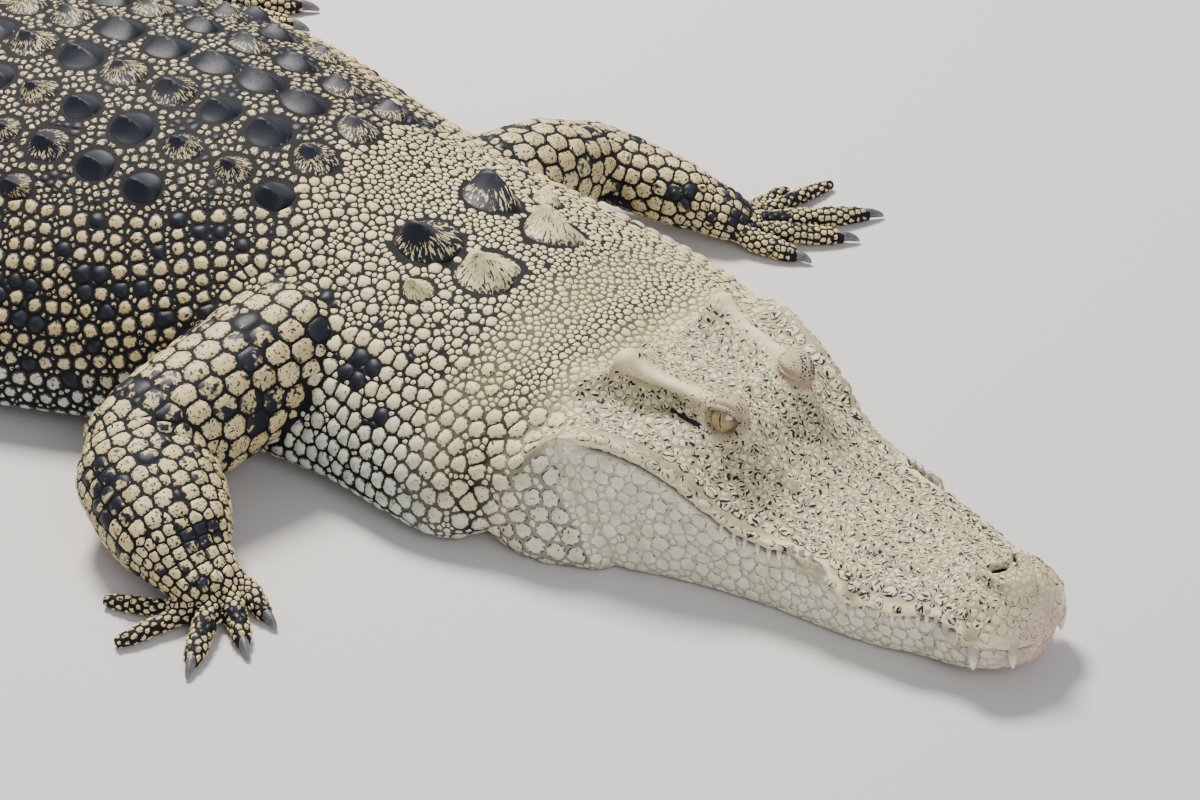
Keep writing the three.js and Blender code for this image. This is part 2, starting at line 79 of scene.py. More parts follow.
def bump(x, middle, spread):
    """A soft bump of height 1 at middle."""
    return np.exp(-((np.asarray(x, float) - middle) / spread) ** 2)

# %% The line the body lies along
MM = 0.001
LOWEST = .0008  # the skin stays this far over the floor
BODY_LENGTH = 3.600
SNOUT = (1.75215, -0.24535)
heading = smooth_line([(0, -14.5), (.55, -14.5), (.80, -8), (1.10, -3.5), (1.35, -2.5), (1.75, -4),
                       (2.20, -9), (2.70, -18), (3.20, -20), (BODY_LENGTH, -14)])
PATH_STEP = 0.005
path_s = np.arange(0, BODY_LENGTH + 2 * PATH_STEP, PATH_STEP)
path_turn = np.radians(heading(path_s))
mean_turn = (path_turn[1:] + path_turn[:-1]) / 2
path_x = SNOUT[0] - np.concatenate([[0], np.cumsum(np.cos(mean_turn)) * PATH_STEP])
path_y = SNOUT[1] - np.concatenate([[0], np.cumsum(np.sin(mean_turn)) * PATH_STEP])

def place(back, out, up):
    """A point so far behind the snout front, out to the left of the body's line, and up."""
    back, out, up = np.broadcast_arrays(*[np.asarray(v, float) for v in (back, out, up)])
    x, y, turn = (np.interp(back, path_s, line) for line in (path_x, path_y, path_turn))
    over = np.minimum(back, 0)
    return np.stack([x - np.sin(turn) * out - np.cos(turn) * over,
                     y + np.cos(turn) * out - np.sin(turn) * over, up], -1)

# %% Lines of the head, in millimetres behind the snout, out and up
def mm_line(pairs):
    return smooth_line([(s * MM, v * MM) for s, v in pairs])

skull_top = mm_line([(0, 52), (6, 75), (20, 94), (40, 108), (58, 112), (75, 104), (95, 93), (130, 89),
    (170, 90), (210, 94), (250, 99), (290, 109), (325, 128), (350, 150), (375, 163), (400, 172),
    (440, 174), (480, 176), (510, 180), (540, 180), (600, 187), (700, 200)])
brow_out = mm_line([(0, 12), (20, 30), (40, 40), (60, 42), (90, 40), (140, 52), (200, 58), (260, 54),
    (300, 50), (330, 50), (352, 53), (375, 61), (395, 62), (420, 64), (460, 71), (495, 77),
    (520, 82), (560, 100), (700, 120)])
brow_up = mm_line([(0, 50), (20, 80), (40, 94), (60, 98), (90, 86), (140, 82), (200, 86), (260, 92),
    (300, 103), (330, 130), (352, 160), (372, 180), (390, 183), (420, 184), (460, 186),
    (495, 192), (520, 182), (560, 176), (700, 180)])
temple_out = mm_line([(0, 18), (20, 45), (40, 58), (60, 64), (85, 60), (140, 80), (200, 85), (260, 83),
    (310, 78), (340, 72), (372, 70), (400, 74), (440, 72), (480, 85), (510, 115), (560, 160),
    (700, 190)])
temple_up = mm_line([(0, 52), (20, 68), (40, 78), (60, 82), (85, 78), (140, 74), (200, 82), (260, 90),
    (310, 107), (340, 125), (372, 150), (400, 158), (440, 158), (480, 160), (510, 158),
    (560, 150), (700, 150)])
cheek_out = mm_line([(0, 22), (12, 45), (30, 64), (50, 73), (85, 72), (110, 80), (140, 93), (180, 99),
    (220, 100), (260, 104), (300, 112), (340, 120), (380, 126), (420, 136), (460, 148),
    (500, 168), (540, 196), (700, 240)])
cheek_up = mm_line([(0, 50), (12, 58), (30, 62), (50, 68), (85, 70), (110, 66), (140, 64), (180, 64),
    (220, 78), (260, 86), (300, 92), (340, 108), (380, 132), (420, 146), (460, 150),
    (500, 146), (540, 130), (700, 110)])
lip_out = mm_line([(0, 20), (10, 40), (30, 60), (50, 70), (85, 70), (110, 78), (140, 91), (180, 96),
    (220, 98), (260, 105), (300, 114), (340, 124), (380, 136), (420, 148), (460, 160),
    (500, 178), (540, 204), (700, 252)])
lip_up = mm_line([(0, 47), (12, 49), (28, 54), (41, 48), (58, 65), (73, 60), (96, 64), (112, 60),
    (132, 57), (147, 61), (173, 48), (188, 61), (203, 66), (215, 80), (250, 82), (270, 76),
    (303, 78), (319, 83), (333, 90), (347, 97), (379, 117), (423, 133), (456, 138), (487, 136),
    (540, 110), (700, 80)])
jaw_out = mm_line([(0, 16), (12, 38), (30, 56), (60, 68), (100, 74), (140, 86), (180, 94), (260, 107),
    (340, 128), (400, 151), (460, 178), (520, 214), (580, 250), (700, 270)])
jaw_up = mm_line([(0, 36), (100, 36), (200, 38), (300, 42), (400, 56), (500, 56), (600, 48),
    (700, 45)])
chin_out = mm_line([(0, 10), (12, 28), (30, 45), (60, 56), (100, 62), (140, 74), (180, 83), (260, 95),
    (340, 116), (400, 140), (460, 170), (520, 204), (580, 240), (700, 255)])
chin_up = mm_line([(0, 24), (30, 15), (80, 7), (150, 2), (200, 0), (700, 0)])
throat_up = mm_line([(0, 28), (20, 14), (50, 5), (80, 0), (700, 0)])
nothing = lambda s: np.zeros_like(np.asarray(s, float))
HEAD_LINES = [(nothing, skull_top), (brow_out, brow_up), (temple_out, temple_up),
              (cheek_out, cheek_up), (lip_out, lip_up), (jaw_out, jaw_up), (chin_out, chin_up),
              (nothing, throat_up)]
# Shares of the half ring at which some of these lines lie.
TABLE_EDGE, TEMPLE, LIP = 1 / 7, 2 / 7, 4 / 7

# %% Lines of the neck, trunk and tail
half_width = mm_line([(500, 198), (550, 232), (600, 258), (680, 274), (780, 272), (860, 272),
    (960, 290), (1100, 332), (1250, 370), (1400, 368), (1550, 325), (1680, 252), (1800, 190),
    (2000, 145), (2300, 112), (2700, 78), (3100, 48), (3400, 24), (3600, 4)])
back_up = mm_line([(500, 180), (600, 187), (660, 198), (740, 210), (840, 226), (950, 252), (1100, 278),
    (1300, 288), (1500, 280), (1650, 250), (1800, 214), (2000, 185), (2300, 158), (2700, 122),
    (3100, 84), (3400, 46), (3600, 16)])
flank_up = mm_line([(500, 46), (600, 38), (800, 40), (1000, 44), (1200, 48), (1500, 54), (1800, 76),
    (2200, 70), (3000, 42), (3600, 9)])
round_top = smooth_line([(.5, 2), (.7, 1.8), (.9, 1.85), (1.3, 1.9), (1.7, 2.05), (2.2, 2)])
round_low = smooth_line([(.5, 2.8), (.9, 2.9), (1.2, 3.4), (1.5, 3.4), (2.0, 2.4), (3.6, 2)])
BELLY_SAG = 1.12

def head_section(s, share):
    """Points of the head's half ring, share 0 in the middle on top and 1 in the middle below."""
    lines = [np.stack([out(s), up(s)], -1) for out, up in HEAD_LINES]
    lines = np.stack([lines[1] * [-1, 1]] + lines + [lines[6] * [-1, 1]], -2)
    t = share * 7
    i = np.clip(np.floor(t).astype(int), 0, 6)
    q = (t - i)[..., None]
    a, b, c, d = (np.take_along_axis(lines, (i + k)[..., None, None], -2)[..., 0, :] for k in range(4))
    curve = 0.5 * (2 * b + (c - a) * q + (2 * a - 5 * b + 4 * c - d) * q * q
                   + (3 * b - a - 3 * c + d) * q ** 3)
    return curve[..., 0], curve[..., 1]

def trunk_section(s, share):
    turn = share * np.pi
    up = np.cos(turn)
    power = 2 / np.where(up >= 0, round_top(s), round_low(s))
    middle = flank_up(s)
    reach = np.where(up >= 0, back_up(s) - middle, middle * BELLY_SAG)
    return half_width(s) * np.abs(np.sin(turn)) ** power, middle + np.sign(up) * reach * np.abs(up) ** power

def section(s, share):
    """Out and up of the whole animal's half ring, before any fine shaping."""
    s, share = np.broadcast_arrays(np.asarray(s, float), np.asarray(share, float))
    head_y, head_z = head_section(s, share)
    trunk_y, trunk_z = trunk_section(np.maximum(s, 0.5), share)
    mix = ease(s, 0.5, 0.62)
    return head_y * (1 - mix) + trunk_y * mix, np.maximum(head_z * (1 - mix) + trunk_z * mix, 0)

print("head", round(float(lip_out(.2)) * 2, 3), "m wide at the middle of the mouth")

# %% [markdown]
# The body is a loft: rings of points round the animal, one behind the other. The rings stand close
# together on the head, where the lids, nostrils and ears need fine detail, and wide apart on the
# tail. Behind the head every second point of a ring is dropped, which keeps the mesh light.

# %% Loft of head, trunk and tail
def steps(start, *runs):
    """Places from start on: each run is (end, about this far apart)."""
    out = [start]
    for end, gap in runs:
        n = max(1, round((end - out[-1]) / gap))
        out += list(np.linspace(out[-1], end, n + 1)[1:])
    return np.array(out)

head_places = steps(.0008, (.03, .0026), (.08, .0026), (.335, .0042), (.412, .0024), (.505, .0032),
                    (.60, .0048))
body_places = steps(.60, (.8, .009), (1.8, .0115), (3.598, .0185))[1:]
SHARE_COUNTS = (22, 20, 33, 10, 23, 11, 13)
fine_share = np.concatenate([[0]] + [(k + np.arange(1, n + 1) / n) / 7
                                     for k, n in enumerate(SHARE_COUNTS)])
coarse_share = fine_share[::2]
HALF = len(fine_share) - 1

def full_ring(place_s, shares):
    """s, share and side of the points of one whole ring."""
    n = len(shares) - 1
    share = np.concatenate([shares, shares[-2:0:-1]])
    side = np.concatenate([np.ones(n + 1), -np.ones(n - 1)])
    return np.full(2 * n, place_s), share, side

rings = [full_ring(s, fine_share) for s in head_places]
for s in body_places:
    q = float(ease(s, .6, .85))
    even = np.linspace(0, 1, HALF // 2 + 1)
    rings.append(full_ring(s, coarse_share * (1 - q) + even * q))
loft_s, loft_share, loft_side = (np.concatenate([r[k] for r in rings]) for k in range(3))
starts = np.cumsum([0] + [len(r[0]) for r in rings])
loft_out, loft_up = section(loft_s, loft_share)
loft_out = loft_out * loft_side

faces = []
for k in range(len(rings) - 1):
    a, b = starts[k], starts[k + 1]
    n, m = len(rings[k][0]), len(rings[k + 1][0])
    if n == m:
        i = np.arange(n)
        j = (i + 1) % n
        faces += [np.stack([a + i, b + i, a + j], 1), np.stack([a + j, b + i, b + j], 1)]
    else:
        i = np.arange(m)
        j = (i + 1) % m
        i2, mid, j2 = a + 2 * i, a + 2 * i + 1, a + (2 * i + 2) % n
        faces += [np.stack([i2, b + i, mid], 1), np.stack([mid, b + i, b + j], 1),
                  np.stack([mid, b + j, j2], 1)]
caps = []
for first, count, back, flip in ((0, len(rings[0][0]), -.0012, False),
                                 (starts[-2], len(rings[-1][0]), 3.5995, True)):
    i = first + np.arange(count)
    j = first + (np.arange(count) + 1) % count
    tip = np.full(count, starts[-1] + len(caps))
    faces.append(np.stack([i, tip, j] if flip else [i, j, tip], 1))
    caps.append((back, 0.0, loft_up[first:first + count].mean()))
faces = np.concatenate(faces)
loft_s, loft_out, loft_up = (np.concatenate([v, [c[k] for c in caps]])
                             for k, v in enumerate((loft_s, loft_out, loft_up)))
loft_share = np.concatenate([loft_share, [0.5, 0.5]])

def edge_ends(tris):
    """Both ends of the three edges of every triangle, the lower number first."""
    return np.sort(np.concatenate([tris[:, [0, 1]], tris[:, [1, 2]], tris[:, [2, 0]]]), 1)

def refine(faces, values, near):
    """Halves every edge with both ends near, and carries the values per point over."""
    n = len(near)
    ends = edge_ends(faces)
    code = ends[:, 0].astype(np.int64) * n + ends[:, 1]
    split = near[ends].all(1)
    cut, index = np.unique(code[split], return_inverse=True)
    middle = np.full(len(code), -1)
    middle[split] = n + index
    values = [np.concatenate([v, v[np.stack([cut // n, cut % n], 1)].mean(1)]) for v in values]
    middle = middle.reshape(3, -1).T
    count = (middle >= 0).sum(1)
    out = [faces[count == 0]]
    for k in range(3):
        (a, b, c), (p, q, r) = np.roll(faces, -k, 1).T, np.roll(middle, -k, 1).T
        one, two = (count == 1) & (p >= 0), (count == 2) & (p >= 0) & (q >= 0)
        out += [np.stack(t, 1)[one] for t in ((a, p, c), (p, b, c))]
        out += [np.stack(t, 1)[two] for t in ((p, b, q), (a, p, q), (a, q, c))]
    three = count == 3
    (a, b, c), (p, q, r) = faces.T, middle.T
    out += [np.stack(t, 1)[three] for t in ((a, p, r), (p, b, q), (r, q, c), (p, q, r))]
    return np.concatenate(out), values

EYE_BACK, EYE_OUT, EYE_UP, EYE_RADIUS = .372, .056, .168, .018
FINE_SPOTS = [(EYE_BACK, EYE_OUT, EYE_UP, .050), (.054, 0, .112, .036), (.468, .080, .160, .040),
              (EYE_BACK, EYE_OUT, EYE_UP, .033), (.054, .012, .112, .014)]
for back, aside, height, reach in FINE_SPOTS:
    near = (loft_s - back) ** 2 + (np.abs(loft_out) - aside) ** 2 + (loft_up - height) ** 2 < reach ** 2
    faces, (loft_s, loft_out, loft_up, loft_share) = refine(faces, [loft_s, loft_out, loft_up, loft_share],
                                                            near)
    fresh = np.arange(len(loft_s)) >= len(near)
    side = np.sign(loft_out[fresh])
    true_out, true_up = section(loft_s[fresh], loft_share[fresh])
    loft_out[fresh], loft_up[fresh] = true_out * side, true_up
body = place(loft_s, loft_out, loft_up)
print("body loft:", len(body), "points,", len(faces), "faces")

# %% Helpers for meshes held as arrays
def face_normals(verts, tris):
    return np.cross(verts[tris[:, 1]] - verts[tris[:, 0]], verts[tris[:, 2]] - verts[tris[:, 0]])

def point_normals(verts, tris):
    """Unit normals at the points, weighted by the faces' areas."""
    n = face_normals(verts, tris)
    out = np.zeros_like(verts)
    for k in range(3):
        for axis in range(3):
            out[:, axis] += np.bincount(tris[:, k], n[:, axis], len(verts))
    return out / np.maximum(np.linalg.norm(out, axis=1, keepdims=True), 1e-12)

def mesh_edges(tris):
    return np.unique(edge_ends(tris), axis=0)

def smoothed(verts, edges, share, rounds):
    """The points drawn towards the mean of their neighbours, each by its own share."""
    verts = verts.copy()
    count = np.bincount(edges.ravel(), minlength=len(verts))[:, None]
    share = np.broadcast_to(np.asarray(share, float), (len(verts),))[:, None]
    for _ in range(rounds):
        total = np.zeros_like(verts)
        for axis in range(3):
            total[:, axis] = (np.bincount(edges[:, 0], verts[edges[:, 1], axis], len(verts))
                              + np.bincount(edges[:, 1], verts[edges[:, 0], axis], len(verts)))
        verts += share * (total / np.maximum(count, 1) - verts)
    return verts

volume = (face_normals(body, faces) * body[faces[:, 0]]).sum() / 6
if volume < 0:
    faces = faces[:, ::-1]
print("body volume", round(abs(float(volume)), 4), "cubic metres")

# %% [markdown]
# The plain loft has the right bulk, but not yet a crocodile's face. The bony ridges, ear flaps, lids,
# nostril pad, lips and throat fold are pushed up or pressed in along the surface's own normals, each
# by a formula of how far behind the snout, how far out and how high a point lies. That keeps every
# form a named number that can be changed on its own.

# %% Forms of the head
def near_line(out, up, line_out, line_up, spread):
    """A soft band along a line that runs lengthwise."""
    return np.exp(-((out - line_out) ** 2 + (up - line_up) ** 2) / spread ** 2)

def table_line(s):
    """How far out the bar along the edge of the skull's table runs."""
    return .0585 + (s - .40) * .19

def span(s, low, high, soft):
    """1 between low and high, falling off over soft at each end."""
    return ease(s, low - soft / 2, low + soft / 2) * (1 - ease(s, high - soft / 2, high + soft / 2))

def soft_noise(points, size, seed):
    """Smooth noise between about -1 and 1 with lumps of that size, in metres."""
    shift = Vector((seed * 7.3, seed * 3.1, seed * 5.7))
    return np.array([noise.noise(Vector(p) / size + shift) for p in points])

PAD_BACK = .054
THROAT_FOLD = smooth_line([(0, .432), (.05, .452), (.09, .478), (.125, .503), (.2, .52)])

def nostrils(s, out, share):
    """How far a place is part of the nostrils' slits, and of the lips behind them."""
    slit, lip = 0, 0
    for side in (-1, 1):
        along = (s - .0535) * .62 + (out * side - .0125) * .78
        across = -(s - .0535) * .78 + (out * side - .0125) * .62 + 14 * along ** 2
        slit = slit + np.exp(-(along / .0080) ** 4 - (across / .0021) ** 2)
        lip = lip + np.exp(-(along / .0095) ** 4 - ((across + .0050) / .0030) ** 2)
    return slit * (share < .30), lip * (share < .30)

def ear_slit(s, out, up):
    """How far a place is part of the dark slit behind the eye."""
    a = np.abs(out)
    return near_line(a, up, temple_out(s), .1515, .0052) * span(s, .396, .450, .008)

def head_relief(s, out, up, share):
    """How far each point of the head is pushed out along its normal."""
    a = np.abs(out)
    d = np.zeros_like(s)
    table_out, table_up = table_line(s), brow_up(s)
    # skull table: dished, with a low ridge along the middle and a rounded bar along each side
    on_table = span(s, .398, .508, .02) * (share < .16)
    d -= .0070 * on_table * (1 - near_line(a, 0, .0, 0, .012)) * ease(.066 - a, 0, .046)
    d += .0012 * on_table * bump(a, 0, .008)
    bar = near_line(a, up, table_out, table_up, np.where(a < table_out, .0270, .0105))
    d += bar * ((.0036 + .0020 * ease(s, .42, .48)) * span(s, .385, .505, .03) + .0100 * bump(s, .493, .014)
                + .0010 * np.sin(s * 150) * span(s, .40, .49, .03))
    d -= .013 * ease(s, .500, .514) * (1 - ease(s, .520, .57)) * ease(.10 - a, 0, .03) * (share < .24)
    # ear: a seam under the bar, the bulging flap, and the dark slit in front of and below it
    d -= .0050 * near_line(a, up, table_out + .004, table_up - .0150, .0052) * span(s, .432, .506, .02)
    d += .0060 * near_line(a, up, .079, .1640, .0100) * bump(s, .478, .019)
    d -= .0065 * near_line(a, up, temple_out(s) + .001, .1500 - .002 * bump(s, .47, .02), .0040) \
        * span(s, .424, .502, .015)
    d -= .0085 * ear_slit(s, out, up)
    d += .0028 * near_line(a, up, temple_out(s) + .006, .1420, .0055) * span(s, .42, .50, .02)
    # cheek bar below the eye, broken into blocks, and the bulge under it
    blocks = 1 - .38 * np.exp(-((np.mod(s + .006, .023) - .0115) / .0016) ** 2)
    d += .0062 * near_line(a, up, cheek_out(s), cheek_up(s), .0100) * span(s, .350, .498, .03) * blocks
    d -= .0030 * near_line(a, up, cheek_out(s) - .020, cheek_up(s) + .007, .0080) * span(s, .345, .49, .04)
    d += .0040 * near_line(a, up, cheek_out(s) + .006, cheek_up(s) - .019, .0075) * span(s, .37, .47, .05)
    # ridges from the eyes down the snout, and the hollow between them
    ridge_out = np.interp(s, [.10, .16, .24, .30, .345], [.030, .036, .033, .034, .045])
    d += .0042 * bump(a, ridge_out, .0085) * span(s, .12, .350, .06) * (share < .30)
    d -= .0026 * bump(a, 0, .016) * span(s, .12, .33, .06) * (share < .2)
    # folds of loose skin under the eye, and knobs on the ridge in front of it
    for k in range(3):
        fold = near_line(a, up, .0735 + .0030 * k, .1500 - .0052 * k, .0016)
        d -= .0011 * fold * span(s, .350, .402, .02)
    d += (.0032 * bump(np.mod(s + .004, .021), .0105, .0062) * bump(a, ridge_out, .0080)
          * span(s, .285, .345, .02) * (share < .33))
    # swellings over the big teeth of the upper jaw
    for back, size in ((.028, .0030), (.118, .0025), (.183, .0035), (.262, .0020)):
        d += size * bump(s, back, .020) * near_line(a, up, cheek_out(s), cheek_up(s), .022)
    # raised pad round the nostrils, with a moat round it
    pad = np.hypot((s - PAD_BACK) / 1.08, out)
    d += (.0062 * (1 - ease(pad, .024, .031)) - .0026 * bump(pad, .0335, .0030)) * (share < .30)
    hole, lip = nostrils(s, out, share)
    d += lip * .0030 - hole * .0095
    # lips: the upper one rolls over the mouth line, the lower one tucks in under it
    above = up - lip_up(s)
    near = near_line(a, up, lip_out(s), lip_up(s), .0135) * (1 - ease(s, .478, .498))
    d += np.where(above > 0, .0030, -.0012) * near
    d -= .0072 * near_line(a, up, lip_out(s), lip_up(s), .0026) * (1 - ease(s, .480, .495))
    d += .0032 * near_line(a, up, lip_out(s), lip_up(s), .010) * span(s, .487, .506, .012)
    scallop = np.exp(-((np.mod(s + .005, .0185) - .00925) / .0022) ** 2)
    d -= .0022 * scallop * near_line(a, up, lip_out(s), lip_up(s) + .007, .0085) * (1 - ease(s, .44, .48))
    # the throat fold: neck skin swells behind it, and jaw muscle stands in front of it
    fold = s - THROAT_FOLD(np.maximum(up, 0))
    low = ease(share, .42, .52)
    d += low * (.0075 * ease(fold, -.001, .012) * (1 - ease(fold, .03, .12))
                - .0045 * bump(fold, -.004, .006))
    d += .0060 * bump(s, .455, .035) * near_line(a, up, jaw_out(s) - .004, .100, .035)
    return d

relief = head_relief(loft_s, loft_out, loft_up, loft_share) * (1 - ease(loft_s, .56, .60))
lumps = soft_noise(np.stack([loft_s, loft_out, loft_up], 1), .024, 1)
small = soft_noise(np.stack([loft_s, loft_out, loft_up], 1), .008, 2)
on_head = 1 - ease(loft_s, .50, .58)
relief += on_head * (lumps * .0013 + small * .0004) * np.where(loft_share < .5, 1, .6)
neck_lumps = soft_noise(np.stack([loft_s, loft_out, loft_up], 1), .11, 3)
relief += (1 - on_head) * neck_lumps * .004 * ease(1.9 - loft_s, 0, .3)
relief += .016 * bump(loft_s, .585, .055) * bump(loft_share, .64, .13)
skin_depth = .0022 + .0013 * ease(loft_s, .5, .9)
normals = point_normals(body, faces)
body = body + normals * (relief - skin_depth * ease(loft_up, 0, .01))[:, None]
low, high = (round(float(v) * 1000, 1) for v in (relief.min(), relief.max()))
print("head relief from", low, "to", high, "mm")

# %% Eyelids
def eye_frame(side):
    """Centre of an eye, and its outward, rearward and upward directions."""
    centre = place(EYE_BACK, side * EYE_OUT, EYE_UP)
    ahead = place(EYE_BACK - .01, side * EYE_OUT, EYE_UP) - centre
    ahead /= np.linalg.norm(ahead)
    left = np.array([-ahead[1], ahead[0], 0])
    look = left * side * .93 + ahead * .22 + np.array([0, 0, .30])
    look /= np.linalg.norm(look)
    rear = -ahead + look * np.dot(ahead, look)
    rear /= np.linalg.norm(rear)
    rise = np.cross(rear, look) * (-side)
    rise *= np.sign(rise[2])
    return centre, look, rear, rise

LID_REACH = .0166

def lid_edge(x):
    """Heights of the lower and upper lid's edge against the place along the opening."""
    q = np.clip(np.abs(x) / LID_REACH, 0, 1)
    arch = np.sqrt(np.maximum(1 - q ** 2.1, 0))
    return -.0112 * arch - .0006, .0098 * arch - .0006

def lid_gap(x, y):
    """How far inside the opening between the lids a place lies, or below zero how far outside."""
    low, high = lid_edge(x)
    inside = np.minimum(y - low, high - y)
    return np.where(np.abs(x) > LID_REACH, -np.hypot(np.abs(x) - LID_REACH, y), inside)

def open_lids(points, side):
    centre, look, rear, rise = eye_frame(side)
    away = points - centre
    r = np.linalg.norm(away, axis=1)
    x, y, z = away @ rear, away @ rise, away @ look
    facing = z / np.maximum(r, 1e-6)
    scale = EYE_RADIUS / np.maximum(r, .004)
    x, y = x * scale, y * scale
    upward = away[:, 2] / np.maximum(r, 1e-6)
    gap = lid_gap(x, y)
    inside = ease(gap, -.0005, .0006) * (facing > .2)
    lid = (.0196 + .0014 * bump(gap, -.0018, .0013) - .0009 * bump(gap, -.0040, .0009)
           + .0009 * bump(gap, -.0060, .0013) - .0006 * bump(gap, -.0082, .0009)
           + .0046 * (y > 0) * bump(gap, -.0095, .0060) + .0006)
    close = ease(upward, -.55, -.15)
    raised = r + ((r ** 9 + lid ** 9) ** (1 / 9) - r) * close
    depth = raised * (1 - inside) + np.minimum(raised, .0158) * inside
    near = r < .05
    return np.where(near[:, None], centre + away * (depth / np.maximum(r, 1e-6))[:, None], points)

for side in (-1, 1):
    body = open_lids(body, side)
body_edges = mesh_edges(faces)
settle = np.where(loft_s < .58, .22, .3)
body = smoothed(body, body_edges, settle, 2)
body[:, 2] = np.maximum(body[:, 2], LOWEST)
print("skin of head, trunk and tail ready")

# %% [markdown]
# A leg is a few tapering rods that overlap: upper limb, lower limb, palm and toes. They are joined to
# the body by a boolean union, so that the whole animal is one closed skin, and then the folds where
# they meet are relaxed, the way real skin bridges an armpit.

# %% Legs: joints and sizes in millimetres, from a mark on the floor under the neck
LEG_MARK = np.array([1.13315, -0.02435, 0])
LEGS = {
    "right_fore": dict(joints=[(-262, -190, 118), (-330, -418, 80), (-218, -505, 48), (-176, -518, 28)],
        thick=[(74, 76), (68, 66), (76, 60), (58, 46), (44, 26)], palm=(-170, -520, 22),
        toes=[(-95, -522, 22), (-94, -577, 24), (-131, -632, 24), (-224, -622, 0), (-275, -568, 0)],
        toe=12.5),
    "left_fore": dict(joints=[(-238, 172, 112), (-195, 350, 78), (-58, 368, 44), (-18, 382, 26)],
        thick=[(62, 70), (50, 50), (44, 44), (38, 36), (42, 25)], palm=(-12, 388, 22),
        toes=[(89, 368, 22), (119, 440, 24), (121, 506, 24), (36, 540, 0), (-6, 500, 0)], toe=12.5),
    "left_hind": dict(joints=[(-985, 150, 128), (-868, 398, 92), (-1010, 506, 52), (-930, 560, 28)],
        thick=[(88, 92), (76, 78), (60, 58), (44, 44), (58, 26)], palm=(-920, 566, 24),
        toes=[(-743, 578, 26), (-762, 634, 28), (-800, 690, 28), (-868, 716, 0)], toe=15),
    "right_hind": dict(joints=[(-1010, -100, 128), (-925, -352, 92), (-1082, -446, 52), (-1010, -508, 28)],
        thick=[(88, 92), (76, 78), (60, 58), (44, 44), (58, 26)], palm=(-1000, -514, 24),
        toes=[(-826, -546, 26), (-852, -602, 28), (-896, -650, 28), (-964, -668, 0)], toe=15),
}
LEG_DEPTH = .0018

class Rod:
    """A tapering rod through stops (point, half width, half height), as a surface of place and turn."""
    def __init__(self, stops, power=2.0):
        self.at = np.array([s[0] for s in stops], float)
        self.half = np.array([s[1:] for s in stops], float)
        self.power = power
        reach = np.linalg.norm(np.diff(self.at, axis=0), axis=1)
        self.knots = np.concatenate([[0], np.cumsum(reach)])
        self.length = self.knots[-1]
        self.lines = [smooth_line(list(zip(self.knots, col))) for col in np.hstack([self.at, self.half]).T]
    def frame(self, t):
        m = np.stack([line(t) for line in self.lines[:3]], -1)
        e = np.stack([line(t + .004) - line(t - .004) for line in self.lines[:3]], -1)
        e /= np.linalg.norm(e, axis=-1, keepdims=True)
        level = np.cross([0, 0, 1], e)
        level /= np.linalg.norm(level, axis=-1, keepdims=True)
        return m, e, level, np.cross(e, level)
    def point(self, t, turn, grow=0.0):
        m, _, level, up = self.frame(t)
        wide, tall = self.lines[3](t) + grow, self.lines[4](t) + grow
        c, s = np.cos(turn), np.sin(turn)
        x = np.sign(c) * np.abs(c) ** (2 / self.power) * wide
        y = np.sign(s) * np.abs(s) ** (2 / self.power) * tall
        p = m + level * x[..., None] + up * y[..., None]
        p[..., 2] = np.maximum(p[..., 2], LOWEST)
        return p
    def mesh(self, around, gap, grow=0.0):
        n = max(3, int(self.length / gap))
        t = np.linspace(0, self.length, n + 1)
        turn = np.arange(around) / around * 2 * np.pi
        tt, rr = np.meshgrid(t, turn, indexing="ij")
        v = self.point(tt, rr, grow)
        a, i = np.meshgrid(np.arange(n), np.arange(around), indexing="ij")
        j = (i + 1) % around
        p, q, r, s = (a * around + i).ravel(), (a * around + j).ravel(), ((a + 1) * around + i).ravel(), (
            (a + 1) * around + j).ravel()
        tris = [np.stack([p, q, r], 1), np.stack([q, s, r], 1)]
        v = v.reshape(-1, 3)
        ends = []
        for ring, sign in ((0, -1), (n, 1)):
            first = ring * around
            size = float(min(self.lines[3](t[ring]), self.lines[4](t[ring])))
            e = self.frame(t[ring])[1]
            tip = v[first:first + around].mean(0) + e * sign * size * .35
            tip[2] = max(tip[2], .0009)
            tip_i = len(v) + len(ends)
            ends.append(tip)
            k = first + np.arange(around)
            l = first + (np.arange(around) + 1) % around
            f = np.stack([k, l, np.full(around, tip_i)], 1)
            tris.append(f if sign > 0 else f[:, ::-1])
        v = np.concatenate([v, ends])
        tris = np.concatenate(tris)
        if (face_normals(v, tris) * v[tris[:, 0]]).sum() < 0:
            tris = tris[:, ::-1]
        return v, tris

